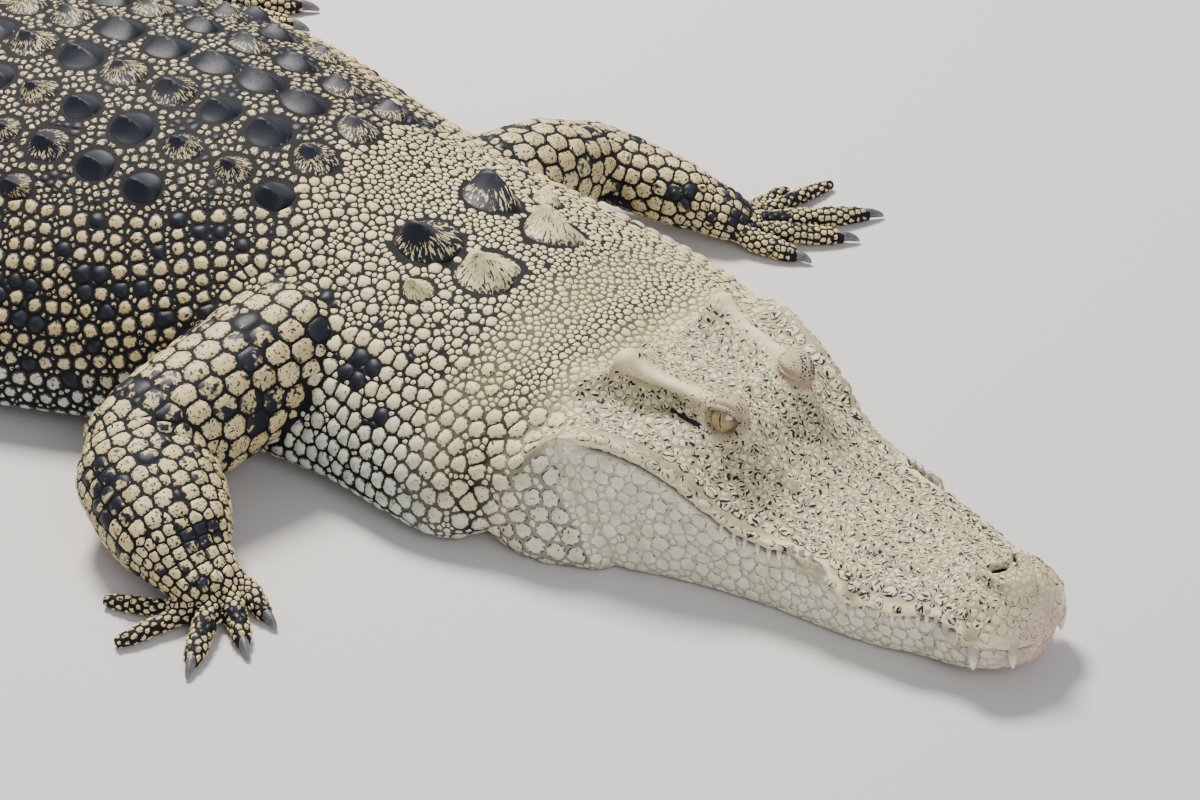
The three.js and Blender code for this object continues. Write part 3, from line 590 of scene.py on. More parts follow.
def leg_rods(leg):
    """The rods of one leg and the claws' places: (name, rod) pairs and (root, tip, half width) of each."""
    j = [np.array(p) * MM + LEG_MARK for p in leg["joints"]]
    hip, knee, wrist, knuckles = j
    thick = np.array(leg["thick"]) * MM - LEG_DEPTH
    mix = lambda p, q, k: p + (q - p) * k
    def stop(p, k, grow=1.0):
        return (p, thick[k][0] * grow, thick[k][1] * grow)
    rods = [("upper", Rod([stop(hip, 0), stop(mix(hip, knee, .5), 0, .97),
                           stop(mix(hip, knee, .85), 1, 1.03), stop(mix(hip, knee, 1.1), 1, .84)], 2.2)),
            ("lower", Rod([stop(mix(knee, wrist, -.08), 1, .84), stop(mix(knee, wrist, .2), 2),
                           stop(mix(knee, wrist, .55), 2, .96), stop(wrist, 3)], 2.2)),
            ("palm", Rod([stop(mix(wrist, knee, .06), 3, .96), stop(mix(wrist, knuckles, .7), 4),
                          stop(mix(knuckles, wrist, -.25), 4, .8)], 2.2))]
    palm = np.array(leg["palm"]) * MM + LEG_MARK
    way = (palm - wrist)[:2] / np.linalg.norm((palm - wrist)[:2])
    toes = [np.array([x, y]) * MM + LEG_MARK[:2] for x, y, _ in leg["toes"]]
    across = toes[-1] - toes[0]
    turn = np.sign(across[0] * -way[1] + across[1] * way[0])
    claws, roots = [], []
    count = len(toes)
    for i, (tip, (_, _, claw)) in enumerate(zip(toes, leg["toes"])):
        r = leg["toe"] * MM * (1 if claw else .8)
        off = (i / (count - 1) - .5) * 1.5 * leg["thick"][4][0] * MM * turn
        root = np.array([palm[0] - way[1] * off, palm[1] + way[0] * off])
        full = np.linalg.norm(tip - root)
        nail = 1 - (claw * MM - .004) / full if claw else .985
        def on(share, up):
            return np.array([*(root + (tip - root) * share), up])
        k = r - LEG_DEPTH * .7
        rods.append((f"toe{i}", Rod([
            (mix(on(0, palm[2]), wrist, .2), k * 1.1, k), (on(.22, r * 1.25), k * 1.12, k * 1.1),
            (on(.40, r * 1.12), k * 1.16, k * 1.10), (on(.52, r * 1.0), k * 1.02, k * .98),
            (on(.66 * nail, r * .92), k * 1.08, k * 1.02), (on(nail * .86, r * .76), k * .92, k * .86),
            (on(nail, r * .64), k * .62, k * .60)], 2.1)))
        roots.append((root, tip))
        if claw:
            claws.append((on(nail - .05, r * .66), on(1, r * .22), r * .5))
    for (r0, t0), (r1, t1) in zip(roots[:-1], roots[1:]):
        reach = .48 if count == 4 else .36
        mid = lambda q: np.array([*((r0 + (t0 - r0) * q + r1 + (t1 - r1) * q) / 2), .011 * (1 - q * .5)])
        spread = lambda q: np.linalg.norm((r0 + (t0 - r0) * q) - (r1 + (t1 - r1) * q)) / 2
        rods.append(("web", Rod([(mid(.02), spread(.02), .009),
                                 (mid(reach * .6), spread(reach * .6), .0055),
                                 (mid(reach), spread(reach) * .55, .0030)], 2.0)))
    return rods, claws

legs = {name: leg_rods(leg) for name, leg in LEGS.items()}

# %% Join body and legs into one skin
def mesh_object(name, verts, tris, smooth=True):
    """A mesh object from arrays of points and triangles."""
    mesh = bpy.data.meshes.new(name)
    mesh.vertices.add(len(verts))
    mesh.vertices.foreach_set("co", np.asarray(verts, np.float32).ravel())
    mesh.loops.add(len(tris) * 3)
    mesh.loops.foreach_set("vertex_index", np.asarray(tris, np.int32).ravel())
    mesh.polygons.add(len(tris))
    mesh.polygons.foreach_set("loop_start", np.arange(len(tris), dtype=np.int32) * 3)
    mesh.polygons.foreach_set("use_smooth", np.full(len(tris), smooth))
    mesh.update()
    mesh.validate()
    obj = bpy.data.objects.new(name, mesh)
    bpy.context.scene.collection.objects.link(obj)
    return obj

def arrays(obj):
    """Points and triangles of an object's evaluated mesh."""
    ready = obj.evaluated_get(bpy.context.evaluated_depsgraph_get())
    mesh = ready.to_mesh()
    mesh.calc_loop_triangles()
    v = np.empty(len(mesh.vertices) * 3, np.float32)
    mesh.vertices.foreach_get("co", v)
    t = np.empty(len(mesh.loop_triangles) * 3, np.int32)
    mesh.loop_triangles.foreach_get("vertices", t)
    ready.to_mesh_clear()
    return v.reshape(-1, 3).astype(float), t.reshape(-1, 3)

def united(parts):
    """The boolean union of several (points, triangles) pairs, as such a pair."""
    base = mesh_object("base", *parts[0])
    others = [mesh_object("other", *p) for p in parts[1:]]
    for other in others:
        step = base.modifiers.new("join", "BOOLEAN")
        step.operation, step.solver, step.object = "UNION", "MANIFOLD", other
    result = arrays(base)
    for obj in [base] + others:
        mesh = obj.data
        bpy.data.objects.remove(obj)
        bpy.data.meshes.remove(mesh)
    return result

def is_closed(tris):
    """Whether every edge belongs to exactly two triangles."""
    return bool((np.unique(edge_ends(tris), axis=0, return_counts=True)[1] == 2).all())

FINENESS = {"upper": (36, .010), "lower": (36, .010), "palm": (32, .007)}
leg_meshes = []
for name, (rods, _) in legs.items():
    for attempt in range(6):
        parts = [rod.mesh(*FINENESS.get(kind, (18, .005)), grow=attempt * 3e-5) for kind, rod in rods]
        joined = united(parts)
        if is_closed(joined[1]):
            break
    leg_meshes.append(joined)
    print(name, "has", len(joined[1]), "faces, closed:", is_closed(joined[1]), "after", attempt + 1)
skin_v, skin_t = united([(body, faces)] + leg_meshes)
print("joined skin:", len(skin_v), "points,", len(skin_t), "faces, closed:", is_closed(skin_t))

# %% Relax the folds where legs, toes and webs meet
def tree_of(points):
    tree = KDTree(len(points))
    for i, p in enumerate(points):
        tree.insert(p, i)
    tree.balance()
    return tree

skin_edges = mesh_edges(skin_t)
unit = face_normals(skin_v, skin_t)
unit /= np.maximum(np.linalg.norm(unit, axis=1, keepdims=True), 1e-15)
centres = skin_v[skin_t].mean(1)
keys = edge_ends(skin_t)
owner = np.tile(np.arange(len(skin_t)), 3)
order = np.lexsort((keys[:, 1], keys[:, 0]))
keys, owner = keys[order], owner[order]
pair = np.flatnonzero((keys[1:] == keys[:-1]).all(1))
f, g = owner[pair], owner[pair + 1]
sharp = (unit[f] * unit[g]).sum(1) < .90
hollow = ((centres[g] - centres[f]) * unit[f]).sum(1) > 0
fold_points = np.unique(keys[pair][sharp & hollow])
from_snout = (SNOUT[0] - skin_v[:, 0])
fold_points = fold_points[from_snout[fold_points] > .62]
fold_tree = tree_of(skin_v[fold_points])
fold_near = np.zeros(len(skin_v))
for k in np.flatnonzero(from_snout > .60):
    far = fold_tree.find(skin_v[k])[2]
    fold_near[k] = math.exp(-(far / .011) ** 2)
skin_v = smoothed(skin_v, skin_edges, .5 * fold_near, 9)
skin_v[:, 2] = np.maximum(skin_v[:, 2], LOWEST)
print(len(fold_points), "points lie in folds")

# %% [markdown]
# Every scale needs to know where on the animal it sits, because size, shape and colour all depend on
# that. So each point of the joined skin is given the coordinates of the surface it came from: how far
# behind the snout and how far round the body, or how far along and round which rod of which leg.

# %% Where each point of the skin belongs
skin_n = point_normals(skin_v, skin_t)
rod_list = [(name, kind, rod) for name, (rods, _) in legs.items() for kind, rod in rods]
rod_points, rod_codes = [], []
for r, (name, kind, rod) in enumerate(rod_list):
    t, turn = np.meshgrid(np.arange(0, rod.length, .005), np.arange(0, 2 * np.pi, .30), indexing="ij")
    rod_points.append(rod.point(t.ravel(), turn.ravel()))
    rod_codes.append(np.stack([np.full(t.size, r), t.ravel(), turn.ravel()], 1))
rod_points, rod_codes = np.concatenate(rod_points), np.concatenate(rod_codes)

body_tree, rod_tree = tree_of(body), tree_of(rod_points)
near_body = [body_tree.find(p) for p in skin_v]
body_i = np.array([n[1] for n in near_body])
body_far = np.array([n[2] for n in near_body])
skin_s, skin_share = loft_s[body_i], loft_share[body_i]
skin_side = np.sign(loft_out[body_i] + 1e-9)
skin_leg = np.full(len(skin_v), -1)
skin_leg_t, skin_leg_turn = np.zeros(len(skin_v)), np.zeros(len(skin_v))
for k in np.flatnonzero((body_far > .0045) & (skin_s > .6)):
    code = rod_codes[rod_tree.find(skin_v[k])[1]]
    skin_leg[k], skin_leg_t[k], skin_leg_turn[k] = code
print(int((skin_leg >= 0).sum()), "points of the skin lie on the legs")

# %% Girth: how far round from the middle of the back
girth_s = np.arange(0, 3.6, .01)
girth_share = np.linspace(0, 1, 161)
ring_out, ring_up = section(girth_s[:, None], girth_share[None])
girth = np.concatenate([np.zeros((len(girth_s), 1)),
                        np.cumsum(np.hypot(np.diff(ring_out, axis=1), np.diff(ring_up, axis=1)), 1)], 1)

def row_of(s):
    return np.clip((np.asarray(s) / .01).astype(int), 0, len(girth_s) - 1)

def girth_at(s, share):
    q = np.clip(share, 0, 1) * 160
    i = np.minimum(q.astype(int), 159)
    r = row_of(s)
    return girth[r, i] + (girth[r, i + 1] - girth[r, i]) * (q - i)

def share_at(s, round_by):
    """The share of the half ring that lies so far round from the back's middle line."""
    return np.array([np.interp(g, girth[r], girth_share) for g, r in
                     zip(np.atleast_1d(round_by), row_of(np.atleast_1d(s)))])

skin_girth = girth_at(skin_s, skin_share)
skin_tree = BVHTree.FromPolygons([tuple(p) for p in skin_v], [tuple(int(i) for i in t) for t in skin_t])
print("girth at the shoulders", round(float(girth[100, -1]) * 2, 2), "m")

# %% [markdown]
# A scale is described by a few numbers: where its root is, how long and wide it is, how high it
# stands, whether it is domed or flat, and whether it bears a keel. Rows of scales are laid out
# first, in the order that the real animal has: shields along the back, ovals along the flanks, bands
# on the tail and toes. Small granules are then thrown at random into all the skin that is left.

# %% The book of scales
# Lengths from one row of scales to the next, in metres.
SHIELD_STEP, FLANK_STEP, NECK_STEP, LIP_STEP, TAIL_STEP = .0660, .0200, .0202, .0185, .0330
FLANK_START, FLANK_END, TAIL_START, TAIL_END = .93, 1.84, 1.85, 3.575

rng = np.random.default_rng(7)
(K_SHIELD, K_NAPE, K_FLANK, K_BELLY, K_TAIL, K_LEG, K_TOE, K_LEG_GRAIN, K_HEAD_GRAIN, K_GRAIN, K_NECK,
 K_JAW, K_LIP) = range(1, 14)
seeds = {k: [] for k in ("at", "s", "share", "side", "leg", "t", "turn", "long", "wide", "high",
                         "dome", "keel", "gap", "kind")}

def keep(points, s, share, side, leg, t, turn, **form):
    """Adds scales at points (already on the skin)."""
    n = len(points)
    for key, value in dict(at=points, s=s, share=share, side=side, leg=leg, t=t, turn=turn, **form).items():
        value = np.asarray(value, float)
        seeds[key].append(np.broadcast_to(value, (n, 3) if key == "at" else (n,)))

def on_skin(points, reach):
    """The nearest points of the skin, their nearest mesh points, and which lie within reach."""
    found = [skin_tree.find_nearest(Vector(p)) for p in points]
    at = np.array([f[0] for f in found])
    far = np.array([f[3] for f in found])
    corner = skin_t[[f[2] for f in found]]
    gap = np.linalg.norm(skin_v[corner] - at[:, None], axis=2)
    index = corner[np.arange(len(at)), gap.argmin(1)]
    return at, index, far < reach

def add_rows(s, round_by, side, **form):
    """Scales at places given by distance behind the snout and distance round from the back."""
    s, round_by, side = (np.asarray(v, float) for v in (s, round_by, side))
    share = share_at(s, round_by)
    out, up = section(s, share)
    at, index, ok = on_skin(place(s, out * side, up), .016)
    ok &= skin_leg[index] < 0
    form = {k: (v[ok] if isinstance(v, np.ndarray) else v) for k, v in form.items()}
    keep(at[ok], s[ok], share[ok], side[ok], -1, 0, 0, **form)
    return int(ok.sum())

# %% Shields of the back, and the cluster on the nape
shield_reach = smooth_line([(.95, .10), (1.02, .15), (1.12, .21), (1.3, .245), (1.6, .235), (1.78, .17),
                            (1.9, .10)])
shield_places = np.cumsum([.038, .072, .067, .061, .055])
lists = []
for s in np.arange(.966, 1.80, SHIELD_STEP):
    for k in range(5):
        if shield_places[k] > float(shield_reach(s)):
            break
        for side in (-1, 1):
            lists.append((s + rng.normal(0, .003) + .004 * k, shield_places[k] + rng.normal(0, .002), side,
                          1 - .06 * k + rng.normal(0, .06), k))
lists = np.array(lists)
n = add_rows(lists[:, 0], lists[:, 1], lists[:, 2], long=.0335 * lists[:, 3],
             wide=np.where(lists[:, 4] < 1, .0330, .0285) * lists[:, 3],
             high=.0022, dome=3.4, keel=.0125 * lists[:, 3], gap=.0018, kind=K_SHIELD)
nape = [(.714, .052, 1.26, -1), (.714, .056, 1.26, 1), (.796, .060, 1.36, -1), (.796, .060, 1.36, 1),
        (.765, .118, .62, -1), (.765, .118, .62, 1)]
nape = np.array(nape)
add_rows(nape[:, 0], nape[:, 1], nape[:, 3], long=.037 * nape[:, 2], wide=.029 * nape[:, 2], high=.0060,
         dome=2.6, keel=.017 * nape[:, 2], gap=.0016, kind=K_NAPE)
print(n, "shields on the back and", len(nape), "on the nape")

# %% Rows of the flanks and the belly
def flank_rows():
    out = []
    for side in (-1, 1):
        for k in range(60):
            shift = (k % 2) * .5
            s = FLANK_START + shift * .02
            while s < FLANK_END:
                edge = float(shield_reach(s)) + .022
                top = edge + .0215 * k
                whole = girth[row_of(s), -1]
                low = top / whole
                if top < whole - .005:
                    size = 1.0 if low < .62 else 1.06 if low < .75 else 1.22
                    out.append((s + rng.normal(0, .0013), top + rng.normal(0, .0012), side, size, low, k))
                    s += FLANK_STEP * size
                else:
                    s += FLANK_STEP
    return np.array(out)

flank = flank_rows()
flank_low = ease(flank[:, 4], .55, .72)
flank_big = np.where((flank[:, 5] % 3 == 0) & (flank[:, 4] < .55), 1.18, 1.0)
n = add_rows(flank[:, 0], flank[:, 1], flank[:, 2], long=.0098 * flank[:, 3] * flank_big,
             wide=.0092 * flank_big * (1 + .1 * flank_low), high=.0027 - .0012 * flank_low,
             dome=2.3 + 2.4 * flank_low, keel=.0014 * (flank_big > 1.1), gap=.0022 - .0009 * flank_low,
             kind=np.where(flank[:, 4] > .78, K_BELLY, K_FLANK))
print(n, "scales in the rows of the flanks and belly")

# %% Rows on the sides and underside of the neck
neck = []
for side in (-1, 1):
    for k in range(50):
        for s in np.arange(.440, .955, NECK_STEP):
            g = .200 - .04 * ease(s, .60, .52) + .0200 * k
            whole = girth[row_of(s), -1]
            if g > whole - .006:
                continue
            neck.append((s + .0101 * (k % 2) + rng.normal(0, .0016), g + rng.normal(0, .0014), side,
                         g / whole))
neck = np.array(neck)
ahead_of_fold = THROAT_FOLD(section(neck[:, 0], share_at(neck[:, 0], neck[:, 1]))[1])
neck = neck[neck[:, 0] > ahead_of_fold + .010]
front = 1 - ease(neck[:, 0], .56, .64)
n = add_rows(neck[:, 0], neck[:, 1], neck[:, 2], long=.0099 + .0026 * front,
             wide=.0106 - .001 * ease(neck[:, 3], .7, .9) + .0024 * front,
             high=.0030 - .0018 * ease(neck[:, 3], .45, .75), dome=2.6, keel=0, gap=.0011, kind=K_NECK)
print(n, "scales in the rows of the neck")

# %% Plates along the lips and round the snout
n = 0
for offset, size in ((-.0105, 1.0), (-.0275, .86), (.0100, .90), (.0260, .84)):
    s = np.arange(.030 if abs(offset) < .02 else .060, .480, LIP_STEP * size)
    s = np.repeat(s, 2) + rng.normal(0, .0009, 2 * len(s))
    side = np.tile([-1, 1], len(s) // 2)
    n += add_rows(s, girth_at(s, np.full(len(s), LIP)) + offset + rng.normal(0, .0006, len(s)), side,
                  long=.0102 * size, wide=.0102 * size,
                   high=.0013, dome=5.0, keel=0, gap=.0005, kind=K_JAW if offset > 0 else K_LIP)
print(n, "plates along the lips")

# %% Bands of the tail
crest_out = smooth_line([(1.7, .056), (2.0, .040), (2.2, .024), (2.38, .009)])
tail = []
for s in np.arange(TAIL_START, TAIL_END, TAIL_STEP):
    whole = float(girth[row_of(s), -1])
    count = max(3, int(whole / .0285))
    for k in range(count):
        for side in (-1, 1):
            tail.append((s + rng.normal(0, .0008), (k + .5) * whole / count, side, whole / count / 2,
                         k / count))
tail = np.array(tail)
n = add_rows(tail[:, 0], tail[:, 1], tail[:, 2], long=.0162, wide=tail[:, 3] * .99, high=.0026, dome=4.2,
             keel=np.where(tail[:, 4] < .45, .0022, 0), gap=.0017, kind=K_TAIL)
print(n, "scales in the bands of the tail")

# %% Rows of the legs and toes
def add_leg_rows(r, rod, long, wide, start, end, **form):
    """Rows of scales round a rod, each row shifted by half a scale."""
    places = []
    for k, t in enumerate(np.arange(start, end, long * .96)):
        spread = np.array([rod.lines[3](t), rod.lines[4](t)]).mean() * 2 * np.pi
        count = max(5, int(round(float(spread) / wide)))
        for j in range(count):
            places.append((t + rng.normal(0, long * .03),
                           (j + (k % 2) * .5 + rng.normal(0, .03)) / count * 2 * np.pi))
    t, turn = np.array(places).T
    at, index, ok = on_skin(rod.point(t, turn), .0045)
    ok &= (at[:, 2] > .002) & (skin_leg[index] >= 0)
    keep(at[ok], skin_s[index][ok], .5, 1, r, t[ok], turn[ok], long=long * .52, wide=wide * .52, **form)
    return int(ok.sum())

# Of the rows on each kind of rod: length and width of a scale, start in metres and as a share of the
# rod, end as a share, and then height, dome, gap and kind.
LEG_ROWS = {"upper": (.029, .026, .02, 0, 1, .0019, 5.0, .0014, K_LEG),
            "lower": (.0185, .0210, 0, 0, 1, .0018, 5.0, .0014, K_LEG),
            "palm": (.0125, .0130, 0, 0, 1, .0016, 4.0, .0012, K_LEG),
            "toe": (.0082, .0098, 0, .16, .985, .0015, 2.8, .0011, K_TOE)}
n = 0
for r, (name, kind, rod) in enumerate(rod_list):
    if kind == "web":
        continue
    hind = 1.12 if "hind" in name else 1.0
    row_long, row_wide, start, from_share, to_share, high, dome, gap, code = LEG_ROWS[kind.rstrip("01234")]
    n += add_leg_rows(r, rod, row_long * hind, row_wide * hind, start + rod.length * from_share,
                      rod.length * to_share, high=high, dome=dome, keel=0, gap=gap, kind=code)
print(n, "scales in rows on legs and toes")

# %% Throwing granules into the skin that is left
area = np.linalg.norm(face_normals(skin_v, skin_t), axis=1)
THROWS, HEAD_THROWS = 330000, 110000
pick = rng.choice(len(skin_t), THROWS, p=area / area.sum())
on_head = np.flatnonzero(skin_s[skin_t[:, 0]] < .60)
head_pick = rng.choice(on_head, HEAD_THROWS, p=area[on_head] / area[on_head].sum())
pick = np.concatenate([pick, head_pick])
rng.shuffle(pick)
mix = rng.dirichlet((1, 1, 1), len(pick))
thrown = (skin_v[skin_t[pick]] * mix[:, :, None]).sum(1)
thrown_i = skin_t[pick, 0]
fine_grid, coarse_grid = {}, {}
FINE, COARSE = .0105, .024

def put(x, y, z, r):
    grid, cell = (fine_grid, FINE) if r <= .0055 else (coarse_grid, COARSE)
    grid.setdefault((x // cell, y // cell, z // cell), []).append((x, y, z, r))

def is_free(x, y, z, r, spacing):
    for grid, cell in ((fine_grid, FINE), (coarse_grid, COARSE)):
        i, j, k = x // cell, y // cell, z // cell
        for a in (i, i - 1, i + 1):
            for b in (j, j - 1, j + 1):
                for c in (k, k - 1, k + 1):
                    for qx, qy, qz, qr in grid.get((a, b, c), ()):
                        if (x - qx) ** 2 + (y - qy) ** 2 + (z - qz) ** 2 < ((r + qr) * spacing) ** 2:
                            return False
    return True

big_at, big_size = [], []
for at, long, wide in zip(seeds["at"], seeds["long"], seeds["wide"]):
    for p, a, b in zip(at.tolist(), long.tolist(), wide.tolist()):
        r = (a + b) / 2 * .97
        if r > .0125:
            big_at.append(p)
            big_size.append(r)
        else:
            put(*p, r)
big_tree = tree_of(big_at)

def throw(size, spacing, where):
    """Indices of the thrown points that find room, tried one after another."""
    taken = []
    for n in np.flatnonzero(where):
        x, y, z = thrown[n].tolist()
        r = float(size[n])
        if z < .0025:
            continue
        _, w, far = big_tree.find((x, y, z))
        if far < (big_size[w] + r) * .92 or not is_free(x, y, z, r, spacing):
            continue
        put(x, y, z, r)
        taken.append(n)
    return np.array(taken, int)

centre_away = [np.linalg.norm(thrown - eye_frame(side)[0], axis=1) for side in (-1, 1)]
near_eye = np.minimum(*centre_away)
body_out = loft_out[body_i]
skin_hole = np.maximum(nostrils(skin_s, body_out, skin_share)[0],
                       ear_slit(skin_s, body_out, loft_up[body_i])) * (skin_s < .5) * (skin_leg < 0)
ts, tshare, tleg = skin_s[thrown_i], skin_share[thrown_i], skin_leg[thrown_i]
tg, tup = skin_girth[thrown_i], loft_up[body_i][thrown_i]
spread = np.exp(rng.normal(0, .12, len(ts)))
trunk = (ts > .93) & (tleg < 0)
above = smooth_line([(.5, .15), (.6, .190), (.95, .190)])
round_bumps = ((ts > .53) & (ts < .99) & (tg < above(ts)) & (tg > .055 + .10 * ease(ts, .72, .56))
               & (tleg < 0))
size = (.0068 + .0028 * ease(tg, .10, .26)) * spread
bumps_at = throw(size, 1.04, round_bumps & (np.arange(len(ts)) % 6 == 0))
bump_size = size[bumps_at]
throat = (ts < THROAT_FOLD(np.maximum(tup, 0)) + .008) & (tshare > .50) & (tleg < 0)
size = (.0062 + .0022 * bump(ts, .36, .10) - .0020 * ease(ts, .10, .0)) * spread
throat_at = throw(size, .86, throat)
throat_size = size[throat_at]
print(len(bumps_at), "bumps on the neck and", len(throat_at), "plates on the jaw and throat")

# %% Granules: the smallest scales, everywhere else
head_top = .0040 + .0010 * ease(ts, .10, .0) + .0012 * bump(tshare, .42, .08)
size = np.where(ts < .52, head_top, .0042)
size = np.where(ts > .58, .0036, size)
size = np.where(trunk, np.where(tg < shield_reach(ts), .0047, .0033), size)
size = np.where(ts > 1.82, .0060, size)
size = np.where(tleg >= 0, .0062, size) * spread
size = np.where(near_eye < .030, size * .42, np.where(near_eye < .042, size * .7, size))
size = np.where((ts > .028) & (ts < .082) & (tshare < .16), size * .62, size)
bare_bar = (near_line(np.abs(body_out[thrown_i]), tup, table_line(ts), brow_up(ts), .0080)
            * span(ts, .405, .500, .008) > .5)
rest_at = throw(size, .86, (skin_hole[thrown_i] < .25) & ~((near_eye < .0195) & (ts < .5)) & ~bare_bar)
rest_size = size[rest_at]
print(len(rest_at), "granules")

def keep_thrown(at, half, **form):
    c = thrown_i[at]
    keep(thrown[at], skin_s[c], skin_share[c], skin_side[c], skin_leg[c], skin_leg_t[c], skin_leg_turn[c],
         long=half * 1.02, wide=half * .97, keel=0, **form)

keep_thrown(bumps_at, bump_size, high=.0012 + .20 * bump_size, dome=2.3, gap=.0010, kind=K_GRAIN)
keep_thrown(throat_at, throat_size, high=.0006, dome=7.0, gap=.0003, kind=K_JAW)
c = thrown_i[rest_at]
rest_leg, rest_head = skin_leg[c] >= 0, skin_s[c] < .53
keep_thrown(rest_at, rest_size, high=np.where(rest_head, .00022, .0004 + .20 * rest_size),
            dome=np.where(rest_head, 8.0, 2.6), gap=np.where(rest_head, .0003, .0006),
            kind=np.where(rest_leg, K_LEG_GRAIN, np.where(rest_head, K_HEAD_GRAIN, K_GRAIN)))
book = {k: np.concatenate(v) for k, v in seeds.items()}
print(len(book["s"]), "scales in all")

# %% [markdown]
# Neighbouring scales grow until they meet, so their outlines are polygons with softened corners.
# That is what a Voronoi diagram gives. Each scale looks at its nearest neighbours; the border with
# each stands across the line between the two, nearer the smaller one. The distance from the root to
# the nearest border, direction by direction, is the scale's outline. An array does this for all
# scales at once.

# %% Axes of each scale
def rearward_at(s):
    turn = np.interp(s, path_s, path_turn)
    return -np.stack([np.cos(turn), np.sin(turn), np.zeros(len(turn))], 1)

total = len(book["s"])
found = [skin_tree.find_nearest(Vector(p)) for p in book["at"]]
corner = skin_t[[f[2] for f in found]]
weight = 1 / np.maximum(np.linalg.norm(skin_v[corner] - book["at"][:, None], axis=2), 1e-5)
up_axis = (skin_n[corner] * weight[:, :, None]).sum(1)
up_axis /= np.linalg.norm(up_axis, axis=1, keepdims=True)
rearward = rearward_at(book["s"])
for r, (_, _, rod) in enumerate(rod_list):
    mine = np.flatnonzero(book["leg"] == r)
    if len(mine):
        rearward[mine] = rod.frame(book["t"][mine])[1]
x_axis = rearward - up_axis * (rearward * up_axis).sum(1, keepdims=True)
x_axis /= np.maximum(np.linalg.norm(x_axis, axis=1, keepdims=True), 1e-9)
y_axis = np.cross(up_axis, x_axis)

# %% Outlines from the nearest neighbours
NEIGHBOURS = 15
seed_tree = tree_of(book["at"])
near = np.zeros((total, NEIGHBOURS), int)
for k, p in enumerate(book["at"]):
    hits = seed_tree.find_n(p, NEIGHBOURS + 1)
    near[k] = [h[1] for h in hits[1:]]
step = book["at"][near] - book["at"][:, None]
dx, dy = (step * x_axis[:, None]).sum(2), (step * y_axis[:, None]).sum(2)
flat = np.maximum(np.hypot(dx, dy), 1e-6)
long, wide = book["long"], book["wide"]
own = flat / np.maximum(np.hypot(dx / long[:, None], dy / wide[:, None]), 1e-6)
ox, oy = (step * x_axis[near]).sum(2), (step * y_axis[near]).sum(2)
theirs = np.hypot(ox, oy) / np.maximum(np.hypot(ox / long[near], oy / wide[near]), 1e-6)
border = flat * own / (own + theirs)
way = np.arctan2(dy, dx)

def outline(which, directions, crisp, fill):
    """Distances from root to rim for some scales, in even directions."""
    theta = np.arange(directions) / directions * 2 * np.pi
    cos = np.cos(theta[None, None] - way[which][:, :, None])
    reach = border[which][:, :, None] / np.maximum(cos, .06)
    ellipse = 1 / np.hypot(np.cos(theta)[None] / long[which][:, None],
                           np.sin(theta)[None] / wide[which][:, None])
    limit = ellipse * fill
    soft = (reach ** -crisp).sum(1) + limit ** -crisp
    r = soft ** (-1 / crisp) - book["gap"][which][:, None] / 2
    return theta, np.maximum(r, ellipse * .35)

# %% Build the scales
root_uv_scale = 1 / 3.75
def root_uv(s, g, side, leg, t, turn):
    """Place of a root on the flat pattern of the skin: the body along the middle, the legs above."""
    u = .02 + s * root_uv_scale
    v = .36 + side * g * root_uv_scale
    on_leg = leg >= 0
    slot_x = (leg % 16) / 16 + .004
    slot_y = .62 + (leg // 16) * .16
    return (np.where(on_leg, slot_x + t * root_uv_scale * .45, u),
            np.where(on_leg, slot_y + turn / (2 * np.pi) * .14, v))

def shape_scales(which, directions, rings, crisp, fill, project=False):
    """Points, triangles and per-point data of some scales."""
    n, m = len(which), len(rings)
    theta, r = outline(which, directions, crisp, fill)
    rho = np.array(rings)
    def with_root(v):
        return np.concatenate([np.zeros((n, 1)), v.reshape(n, -1)], 1)
    x = with_root(r[:, None] * rho[None, :, None] * np.cos(theta))
    y = with_root(r[:, None] * rho[None, :, None] * np.sin(theta))
    edge = with_root(np.broadcast_to(np.repeat(rho, directions), (n, m * directions)))
    u, e1, e2 = up_axis[which][:, None], x_axis[which][:, None], y_axis[which][:, None]
    base = book["at"][which][:, None] + e1 * x[..., None] + e2 * y[..., None]
    if project:
        flat_base = base.reshape(-1, 3)
        hit = [skin_tree.find_nearest(Vector(p))[0] for p in flat_base]
        base = np.array(hit).reshape(base.shape)
    else:
        rim = base[:, -directions:].reshape(-1, 3)
        hit = np.array([skin_tree.find_nearest(Vector(p))[0] for p in rim]).reshape(n, directions, 3)
        middle = book["at"][which][:, None]
        for k, q in enumerate(rho):
            a = 1 + k * directions
            base[:, a:a + directions] = middle + (hit - middle) * q
    high = book["high"][which][:, None]
    power = book["dome"][which][:, None]
    lift = high * (1 - edge ** power)
    keel = book["keel"][which][:, None]
    nx, ny = x / long[which][:, None], y / wide[which][:, None]
    blade = np.maximum(0, 1 - np.abs(ny) / .78) ** 1.7
    rise = np.clip((nx + 1.0) / 1.15, 0, 1) ** .8 * np.clip((.96 - nx) / .50, 0, 1) ** .8
    blade *= rise * (1 - edge ** 6)
    lift = lift + keel * blade
    lift = np.where(edge > .995, -.0003, lift)
    points = base + u * lift[..., None]
    k = np.arange(directions)
    l = (k + 1) % directions
    tris = [np.stack([np.zeros_like(k), 1 + k, 1 + l], 1)]
    for q in range(m - 1):
        a, b = 1 + q * directions, 1 + (q + 1) * directions
        tris += [np.stack([a + k, b + k, a + l], 1), np.stack([a + l, b + k, b + l], 1)]
    tris = np.concatenate(tris)
    count = 1 + m * directions
    all_tris = (tris[None] + (np.arange(n) * count)[:, None, None]).reshape(-1, 3)
    scale_id = np.repeat(which, count)
    return points.reshape(-1, 3), all_tris, scale_id, edge.ravel(), nx.ravel(), ny.ravel()
print("outlines ready for", total, "scales")

